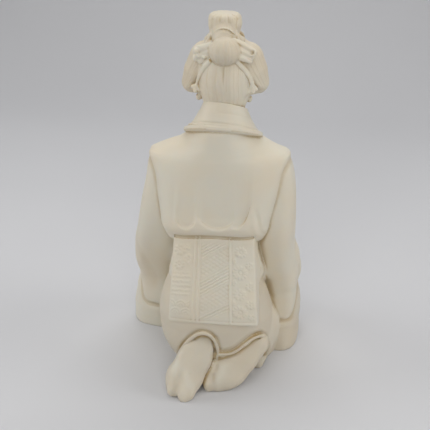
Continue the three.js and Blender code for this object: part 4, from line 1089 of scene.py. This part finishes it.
def relief(P, tags):
    """Height of the carving at points of the surface, in mm along the normal."""
    x, y, z = P.T
    stack = np.stack([tags[n] for n in NAMES])
    best = stack.min(0)
    who = stack.argmin(0)
    mine = {n: (who == i) for i, n in enumerate(NAMES)}
    second = np.partition(stack, 1, axis=0)[1] - best
    away = sstep(0.15, 0.9, second)  # fades where two masses meet
    h = np.zeros(len(P))

    def put(names, value, fade=True):
        m = np.zeros(len(P), bool)
        for n in names.split():
            m |= mine[n]
        h[m] += (value * (away if fade else 1.0))[m]

    # hair
    hx = HEAD_X
    ang = np.arctan2(x + 4.2, y - 14)
    pole = sstep(1.5, 6.0, np.hypot(x + 4.2, y - 14))
    put("bun", (0.24 * strands(ang * 9.0, 1.15, 1.0) + 0.10 * np.cos(ang * 9.0 * 2 * np.pi / 4.1)) * pole)
    ang = np.arctan2(x + 2.6, y + 3)
    fan = (x + 3.2) * (1 + 0.020 * (205 - z))
    part = -0.50 * bell(x + 4.0, 0.8) * sstep(199, 208, z)
    put("nape", 0.34 * strands(ang * 18.0, 1.5, 2.0, z) + part)
    a, t = axis_angle(P, [18.9, -4, 195.8], [9.6, -5, 211.6])
    put("wingL", 0.42 * strands(a * 11.0, 1.45, 3.0, z) * sstep(-0.42, -0.1, t))
    a, t = axis_angle(P, [-22.3, -4, 197.6], [-13.8, -5, 212.2])
    put("wingR", 0.42 * strands(a * 11.0, 1.45, 4.0, z) * sstep(-0.42, -0.1, t))
    ang = np.arctan2(x + 2.2, y + 3)
    rim = sstep(3.0, 7.0, np.hypot(x + 2.2, (y + 3) * 0.8))
    slant = sstep(-7, -12, x) * sstep(231, 235, z)
    put("knot", 0.62 * strands(ang * 10.5 + slant * (z - 235) * 0.9, 1.5, 5.0) * rim)
    ang = np.arctan2(x - hx, -(y - 4))
    put("front crown", 0.32 * strands(ang * 15.0, 1.5, 6.0, z) * sstep(3, 8, np.hypot(x - hx, y - 4)))
    put("tie", 0.25 * strands((x + 2.6) * 1.0, 1.7, 7.0))
    put("tuft", 0.2 * strands(x + 0.5 * y, 1.2, 8.0))
    put("comb", 0.3 * strands(x * 1.0, 1.15, 9.0) * sstep(226.5, 225.5, z))
    # cords and scarf
    put("cord", 0.22 * strands(x * 0.8 + z * 0.35, 1.15, 2.5))
    put("tiecord", 0.12 * np.sin(2 * np.pi * (x + 0.3 * z) / 1.6))
    put("sashcord", 0.22 * np.abs(np.sin(np.pi * (x + 0.8 * z) / 2.1)) - 0.1)
    put("scarf", 0.35 * strands(z + 0.10 * np.abs(x), 1.7, 3.3))
    # sash flap
    t = np.clip((z - 48.5) / 53.5, 0, 1)
    half = flap_half(t)
    u = (x - flap_middle(t)) / half
    s, v = FLAP_W / 2 * (1 - u), (z - 49.2 + 2.6 * u * u + 0.5 * u) * 1.07
    fade = sstep(0.6, 1.6, half * (1 - np.abs(u))) * sstep(1.0, 2.2, v)
    put("flap", (1.0 * flap_pattern(s, v) + 0.05 * noise(P, 1.4, 5)) * fade, fade=False)
    # sash at the front and sides: woven diamonds
    q = x + 1.4 * np.abs(y) * 0.4
    dia = np.maximum(bell((q + z) % 6.0 - 3.0, 0.5), bell((q - z) % 6.0 - 3.0, 0.5))
    put("sash", -0.26 * dia + 0.08 * noise(P, 1.6, 6))
    # soft roll along the sleeve's tongue where it laps over the under-sleeve
    for wrap, sleeve in (("wrapL", "sleeveL"), ("wrapR", "sleeveR")):
        gap = tags[sleeve]
        put(wrap, 0.10 * noise(P, 3.4, 7) + 0.45 * bell(gap - 2.4, 1.3) - 0.8 * bell(gap - 0.2, 0.9), fade=False)
        put(sleeve, -0.6 * bell(tags[wrap] - 0.2, 0.9) * sstep(62, 52, z), fade=False)
    # crease where back and sleeves meet
    for sleeve in ("sleeveL", "sleeveR"):
        put("bodice", -0.35 * bell(tags[sleeve], 0.8) * sstep(100, 108, z), fade=False)
        put(sleeve, -0.55 * bell(tags["bodice"], 1.2), fade=False)
    # crossed lapels of the robe
    front = sstep(-3.0, -6.0, y)
    L = x - (hx + 0.44 * (z - 150.5))
    R = -x + (hx - 0.44 * (z - 150.5))
    over = sstep(-0.35, 0.35, L) * sstep(152.5, 150.5, z) + sstep(152.5, 150.5, -z + 303)
    left_on = sstep(-0.3, 0.3, L)
    lapel = 1.15 * left_on * sstep(8.6, 8.0, L) + 0.45 * left_on * sstep(104, 108, z)
    under = sstep(-0.3, 0.3, R) * (1 - left_on)
    lapel_r = (1.0 * sstep(8.6, 8.0, R)) * under * sstep(149, 151, z)
    put("bodice", (lapel + lapel_r) * front * sstep(173, 169, z), fade=False)
    # overlap of the robe's skirt, over the lap and down its front
    way = np.maximum(-34 - y, 0) + np.maximum(46 - z, 0)
    line = x - (-10.5 + 0.13 * way)
    ahead = sstep(-26, -32, y)
    put("skirt", (0.9 * sstep(-0.35, 0.35, line) + 0.5 * bell(line - 6.0, 0.7) - 0.35 * bell(line - 7.4, 0.8)) * ahead * sstep(34, 20, x), fade=False)
    # soft drapery
    put("skirt", 0.55 * np.sin(x * 0.21 + 1.2 * np.sin(z * 0.07)) * bell(z - 14, 14) * sstep(-40, -62, y) * sstep(2, 8, np.abs(line)))
    for sleeve, sg in (("sleeveL", 1.0), ("sleeveR", -1.0)):
        k = sg * x * 0.5 - y * 0.34 + 0.12 * z
        put(sleeve, 0.30 * np.sin(k * 0.42) * sstep(120, 90, z) * sstep(26, 40, z) * sstep(0, -14, y))
    # second fold line of the collar
    zz = z - 0.05 * (x + 2.8) - 0.44 * (y - 5)
    put("collar", -0.22 * bell(zz - 178.0, 0.8) * sstep(0, 8, y) * sstep(8, -6, x) - 0.3 * bell(zz - 171.2, 0.5), fade=False)
    # groove beside the rolled hem
    put("skirt", -0.9 * bell(tags["hem"] - 0.3, 1.0), fade=False)
    # toes and the ball of each sole
    for foot, spots in SOLES:
        for cx, cy, r, hgt in spots:
            put(foot, hgt * bell(np.hypot(x - cx, y - cy), r), fade=False)
    put("footL footR", 0.10 * noise(P, 3.0, 11) + 0.06 * noise(P, 1.5, 12))
    return h

# ------------------------------------------------------------------ mesh of the carving
MIDDLE = (10.039, -11.992)
STEP = 0.5
HEAD_STEP = 0.4
BUDGET = 190000
RECESS_REACH = (1.3, 3.0, 7.0)
SHADED_PIECES = {  # how far each piece is darkened: painted shade for pieces that sit in less light
    "nape": 0.3, "knot": 0.5, "wingL": 0.9, "wingR": 0.7, "front": 0.8, "crown": 0.8, "tie": 0.9, "bun": 0.9, "comb": 0.6,
    "tuft": 0.8, "footL": 0.7, "footR": 0.8, "hem": 0.9, "skirt": 0.8, "wrapR": 0.8,
}


HEAD = "neck face socket eye lid brow nose nostril lips mouth philtrum nape wingL wingR front crown tie tiecord bun knot comb tuft ear bow cord floor".split()


def carve(S, lo, hi, step):
    """Mesh of the solids at the given step, with the relief on it."""
    V, Q = extract(S, lo, hi, [step * 8, step * 4, step * 2, step])
    V = snap(S, V, 2)
    for s in range(0, len(V), 300000):
        P = V[s : s + 300000]
        g = grad(S, P)[1]
        N = g / (np.linalg.norm(g, axis=1)[:, None] + 1e-9)
        lift = relief(P, tags_at(S, P)) * (P[:, 2] > 0.3)
        V[s : s + 300000] = P + N * lift[:, None]
    say("relief carved")
    V[:, 2] = np.where(V[:, 2] < 0.25, 0.0, V[:, 2])
    return V, Q


def to_mesh(name, V, Q):
    me = bpy.data.meshes.new(name)
    me.vertices.add(len(V))
    me.vertices.foreach_set("co", V.astype(np.float32).ravel())
    me.loops.add(Q.size)
    me.loops.foreach_set("vertex_index", Q.astype(np.int32).ravel())
    me.polygons.add(len(Q))
    me.polygons.foreach_set("loop_start", np.arange(0, Q.size, 4, dtype=np.int32))
    me.polygons.foreach_set("loop_total", np.full(len(Q), 4, np.int32))
    me.update(calc_edges=True)
    me.validate()
    return me


def lighten(obj, budget):
    """Collapses the mesh to at most budget triangles, applied."""
    faces = len(obj.data.polygons) * 2
    mod = obj.modifiers.new("lighten", "DECIMATE")
    mod.ratio = min(1.0, budget / faces)
    mod.use_collapse_triangulate = True
    dg = bpy.context.evaluated_depsgraph_get()
    me = bpy.data.meshes.new_from_object(obj.evaluated_get(dg))
    obj.modifiers.clear()
    old = obj.data
    obj.data = me
    bpy.data.meshes.remove(old)
    say("lightened from", faces, "to", len(me.polygons))


def patina_and_shade_maps(S, me):
    """How deep each vertex sits among its surroundings, from 0 in the open to 1 in a narrow recess, kept with the depth
    of the carving and each piece's share of painted shade; the material paints ochre patina and painted shade into
    recesses and grooves from them.
    """
    n = len(me.vertices)
    co = np.empty(n * 3, np.float32)
    me.vertices.foreach_get("co", co)
    P = co.reshape(-1, 3).astype(np.float64)
    d, g = grad(S, P)
    N = g / (np.linalg.norm(g, axis=1)[:, None] + 1e-9)
    rise = np.maximum(np.linalg.norm(g, axis=1), 0.25)
    # occlusion by the surroundings: drives the ochre patina and the painted shade in recesses
    total = np.zeros(n)
    for h in RECESS_REACH:
        e = field(S, P + N * h)
        total += np.clip(1 - e / (h * rise), 0, 1) / len(RECESS_REACH)
    tags = tags_at(S, P)
    low = relief(P, tags)
    low = np.where(np.minimum(tags["footL"], tags["footR"]) < 0.6, np.maximum(low, -0.1), low)
    att = me.attributes.new("recess", "FLOAT", "POINT")
    att.data.foreach_set("value", total.astype(np.float32))
    att = me.attributes.new("groove", "FLOAT", "POINT")
    att.data.foreach_set("value", np.clip(-low * 1.6, 0, 1).astype(np.float32))
    # painted shade: share of darkening for each piece that sits in less light
    shade = np.maximum.reduce([w * sstep(1.2, 0.1, tags[n]) for n, w in SHADED_PIECES.items() if n in tags])
    att = me.attributes.new("painted_shade", "FLOAT", "POINT")
    att.data.foreach_set("value", shade.astype(np.float32))
    say("patina_and_shade_maps", float(total.mean()), float(total.max()))


# ------------------------------------------------------------------ materials
class Nodes:
    def __init__(self, name):
        self.m = bpy.data.materials.new(name)
        self.m.use_nodes = True
        self.t = self.m.node_tree
        self.t.nodes.clear()

    def add(self, kind, **given):
        n = self.t.nodes.new(kind)
        for k, v in given.items():
            setattr(n, k, v)
        return n

    def link(self, a, b):
        self.t.links.new(a, b)

    def noise(self, where, scale, detail=3.0, rough=0.5):
        n = self.add("ShaderNodeTexNoise")
        n.inputs["Scale"].default_value = scale
        n.inputs["Detail"].default_value = detail
        n.inputs["Roughness"].default_value = rough
        self.link(where, n.inputs["Vector"])
        return n.outputs["Fac"]

    def span(self, value, a, b, c, d, smooth=False):
        n = self.add("ShaderNodeMapRange")
        if smooth:
            n.interpolation_type = "SMOOTHSTEP"
        for k, v in zip(("From Min", "From Max", "To Min", "To Max"), (a, b, c, d)):
            n.inputs[k].default_value = v
        self.link(value, n.inputs["Value"])
        return n.outputs["Result"]

    def mix(self, fac, a, b):
        n = self.add("ShaderNodeMix", data_type="RGBA")
        self.link(fac, n.inputs["Factor"])
        for v, s in ((a, n.inputs[6]), (b, n.inputs[7])):
            if isinstance(v, tuple):
                s.default_value = (*v, 1.0)
            else:
                self.link(v, s)
        return n.outputs[2]

    def math(self, op, a, b):
        n = self.add("ShaderNodeMath", operation=op)
        for v, s in ((a, n.inputs[0]), (b, n.inputs[1])):
            if isinstance(v, (int, float)):
                s.default_value = v
            else:
                self.link(v, s)
        return n.outputs[0]


def srgb(*c):
    return tuple(((v / 255 + 0.055) / 1.055) ** 2.4 if v > 10 else v / 255 / 12.92 for v in c)


STONE = srgb(229, 221, 204)
STONE_WARM = srgb(229, 219, 199)
STONE_COOL = srgb(226, 221, 206)
# stone darkened as painted shade for whole pieces in less light
STONE_SHADED = srgb(206, 192, 169)
# ochre of the hollows: the stone's patina, and painted shade in recesses and grooves
OCHRE = srgb(186, 160, 108)


def alabaster():
    n = Nodes("alabaster")
    out = n.add("ShaderNodeOutputMaterial")
    b = n.add("ShaderNodeBsdfPrincipled")
    pos = n.add("ShaderNodeTexCoord").outputs["Object"]
    broad = n.span(n.noise(pos, 26.0, 3.0), 0.36, 0.64, 0, 1, True)
    fine = n.span(n.noise(pos, 240.0, 3.0), 0.35, 0.65, 0, 1, True)
    col = n.mix(broad, STONE_WARM, STONE_COOL)
    col = n.mix(n.math("MULTIPLY", fine, 0.35), col, STONE)
    # ochre in recesses and carved grooves: partly the patina of the hollows, partly painted shade
    recess = n.add("ShaderNodeAttribute", attribute_name="recess").outputs["Fac"]
    groove = n.add("ShaderNodeAttribute", attribute_name="groove").outputs["Fac"]
    patchy = n.span(n.noise(pos, 90.0, 4.0), 0.3, 0.7, 0.55, 1.1)
    deep = n.math("MULTIPLY", n.span(recess, 0.28, 0.85, 0, 0.8, True), patchy)
    cut = n.math("MULTIPLY", n.span(groove, 0.14, 0.9, 0, 0.4, True), patchy)
    # painted shade: whole pieces that sit in less light are darkened towards the shaded stone colour
    painted_shade = n.add("ShaderNodeAttribute", attribute_name="painted_shade").outputs["Fac"]
    col = n.mix(n.math("MULTIPLY", painted_shade, 0.55), col, STONE_SHADED)
    patina_and_shade = n.math("MINIMUM", n.math("MAXIMUM", deep, cut), 1.0)
    col = n.mix(patina_and_shade, col, OCHRE)
    n.link(col, b.inputs["Base Color"])
    n.link(n.span(n.noise(pos, 120.0, 3.0), 0.3, 0.7, 0.46, 0.62), b.inputs["Roughness"])
    b.inputs["IOR"].default_value = 1.5
    b.inputs["Specular IOR Level"].default_value = 0.32
    b.inputs["Subsurface Weight"].default_value = 0.18
    b.inputs["Subsurface Radius"].default_value = (1.0, 0.72, 0.42)
    b.inputs["Subsurface Scale"].default_value = 0.003
    bump = n.add("ShaderNodeBump")
    bump.inputs["Strength"].default_value = 0.10
    bump.inputs["Distance"].default_value = 0.0004
    grain = n.math("ADD", n.noise(pos, 700.0, 4.0, 0.6), n.math("MULTIPLY", n.noise(pos, 160.0, 3.0), 0.8))
    n.link(grain, bump.inputs["Height"])
    n.link(bump.outputs["Normal"], b.inputs["Normal"])
    n.link(b.outputs["BSDF"], out.inputs["Surface"])
    return n.m


def paper():
    n = Nodes("paper_sweep")
    out = n.add("ShaderNodeOutputMaterial")
    b = n.add("ShaderNodeBsdfPrincipled")
    pos = n.add("ShaderNodeTexCoord").outputs["Object"]
    col = n.mix(n.span(n.noise(pos, 3.0, 2.0), 0.3, 0.7, 0, 1), srgb(213, 214, 218), srgb(217, 218, 222))
    n.link(col, b.inputs["Base Color"])
    b.inputs["Roughness"].default_value = 0.9
    b.inputs["Specular IOR Level"].default_value = 0.1
    n.link(b.outputs["BSDF"], out.inputs["Surface"])
    return n.m


# ------------------------------------------------------------------ stage, light, camera
CAM = {"distance": 0.650, "elevation": 24.0, "turn": 9.0, "target": (3.7, 0.0, 108.0), "focal_px": 1000.0, "frame_px": 430.0}


def sweep():
    """Paper sweep: a floor that curves up far behind the figurine, as the camera sees it."""
    rows = []
    wall, bend = -1.05, 0.55
    for i in range(25):
        a = math.radians(90 * i / 24)
        rows.append((wall - 0.0 + bend - bend * math.sin(a) - 0.0, bend - bend * math.cos(a)))
    prof = [(2.6, 0.0)] + rows + [(wall, 2.6)]
    ys = [p[0] for p in prof]
    V, F_ = [], []
    for y, zz in prof:
        V += [(-2.6, y, zz), (2.6, y, zz)]
    for i in range(len(prof) - 1):
        F_.append((2 * i, 2 * i + 1, 2 * i + 3, 2 * i + 2))
    me = bpy.data.meshes.new("floor")
    me.from_pydata(V, [], F_)
    for p in me.polygons:
        p.use_smooth = True
    o = bpy.data.objects.new("floor", me)
    bpy.context.scene.collection.objects.link(o)
    return o


def area(name, where, at, size, watts, colour):
    li = bpy.data.lights.new(name, "AREA")
    li.shape = "RECTANGLE"
    li.size, li.size_y = size
    li.energy = watts
    li.color = colour
    o = bpy.data.objects.new(name, li)
    o.location = where
    o.rotation_euler = (Vector(at) - Vector(where)).to_track_quat("-Z", "Y").to_euler()
    bpy.context.scene.collection.objects.link(o)
    return o


def camera():
    a, e = math.radians(CAM["turn"]), math.radians(CAM["elevation"])
    tx, ty, tz = CAM["target"]
    target = Vector(((tx - MIDDLE[0]) / 1000, (ty - MIDDLE[1]) / 1000, tz / 1000))
    back = Vector((-math.sin(a) * math.cos(e), math.cos(a) * math.cos(e), math.sin(e)))
    cam = bpy.data.cameras.new("camera")
    cam.sensor_width = 36.0
    cam.lens = 36.0 * CAM["focal_px"] / CAM["frame_px"]
    cam.clip_start, cam.clip_end = 0.02, 20.0
    o = bpy.data.objects.new("camera", cam)
    o.location = target + back * CAM["distance"]
    o.rotation_mode = "QUATERNION"
    o.rotation_quaternion = (-back).to_track_quat("-Z", "Y")
    bpy.context.scene.collection.objects.link(o)
    bpy.context.scene.camera = o
    return o


def main():
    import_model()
    S = build()
    stone = alabaster()
    for name, mine, lo, hi, step, budget in (
        ("figurine_robe", [s for s in S if s.name not in HEAD or s.name == "floor"], [-70, -90, -6], [74, 64, 190], STEP, BUDGET),
        ("figurine_head", [s for s in S if s.name in HEAD], [-40, -40, 130], [36, 36, 242], HEAD_STEP, BUDGET),
    ):
        V, Q = carve(mine, lo, hi, step)
        obj = bpy.data.objects.new(name, to_mesh(name, V, Q))
        bpy.context.scene.collection.objects.link(obj)
        lighten(obj, budget)
        me = obj.data
        patina_and_shade_maps(S, me)
        co = np.empty(len(me.vertices) * 3, np.float32)
        me.vertices.foreach_get("co", co)
        co = (co.reshape(-1, 3) - np.array([MIDDLE[0], MIDDLE[1], 0.0], np.float32)) / 1000.0
        me.vertices.foreach_set("co", co.ravel().astype(np.float32))
        me.update()
        me.name = name
        for p in me.polygons:
            p.use_smooth = True
        me.materials.clear()
        me.materials.append(stone)
        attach(obj, "root")
        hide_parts("figurine")
    floor = sweep()
    floor.data.materials.append(paper())

    world = bpy.data.worlds.new("studio")
    bpy.context.scene.world = world
    world.use_nodes = True
    bg = world.node_tree.nodes["Background"]
    bg.inputs["Color"].default_value = (0.93, 0.95, 1.0, 1.0)
    bg.inputs["Strength"].default_value = 0.012
    # beyond the paper the camera sees the same pale tone, and the light in the scene stays as it is
    tree = world.node_tree
    pale = tree.nodes.new("ShaderNodeBackground")
    pale.inputs["Color"].default_value = (*srgb(190, 191, 193)[:3], 1)
    pale.inputs["Strength"].default_value = 1.0
    path = tree.nodes.new("ShaderNodeLightPath")
    both = tree.nodes.new("ShaderNodeMixShader")
    tree.links.new(path.outputs["Is Camera Ray"], both.inputs[0])
    tree.links.new(bg.outputs[0], both.inputs[1])
    tree.links.new(pale.outputs[0], both.inputs[2])
    tree.links.new(both.outputs[0], tree.nodes["World Output"].inputs["Surface"])
    middle = (0.0, 0.0, 0.12)
    area("overhead_behind", (0.0, 0.35, 0.85), middle, (0.8, 0.7), 2.0, (1.0, 0.985, 0.955))
    area("overhead_ahead", (0.0, -0.40, 0.85), middle, (0.8, 0.7), 3.05, (1.0, 0.99, 0.97))
    area("side_left", (0.85, 0.05, 0.45), middle, (0.6, 0.6), 2.85, (1.0, 0.995, 0.98))
    area("side_right", (-0.85, 0.05, 0.45), middle, (0.6, 0.6), 2.7, (1.0, 0.985, 0.96))
    area("over_camera", (-0.10, 1.2, 0.75), (0.0, 0.0, 0.1), (1.0, 0.7), 5.3, (1.0, 0.985, 0.955))
    camera()
    view = bpy.context.scene.view_settings
    view.view_transform = "Standard"
    view.look = "None"
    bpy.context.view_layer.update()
    say("scene ready")


main()
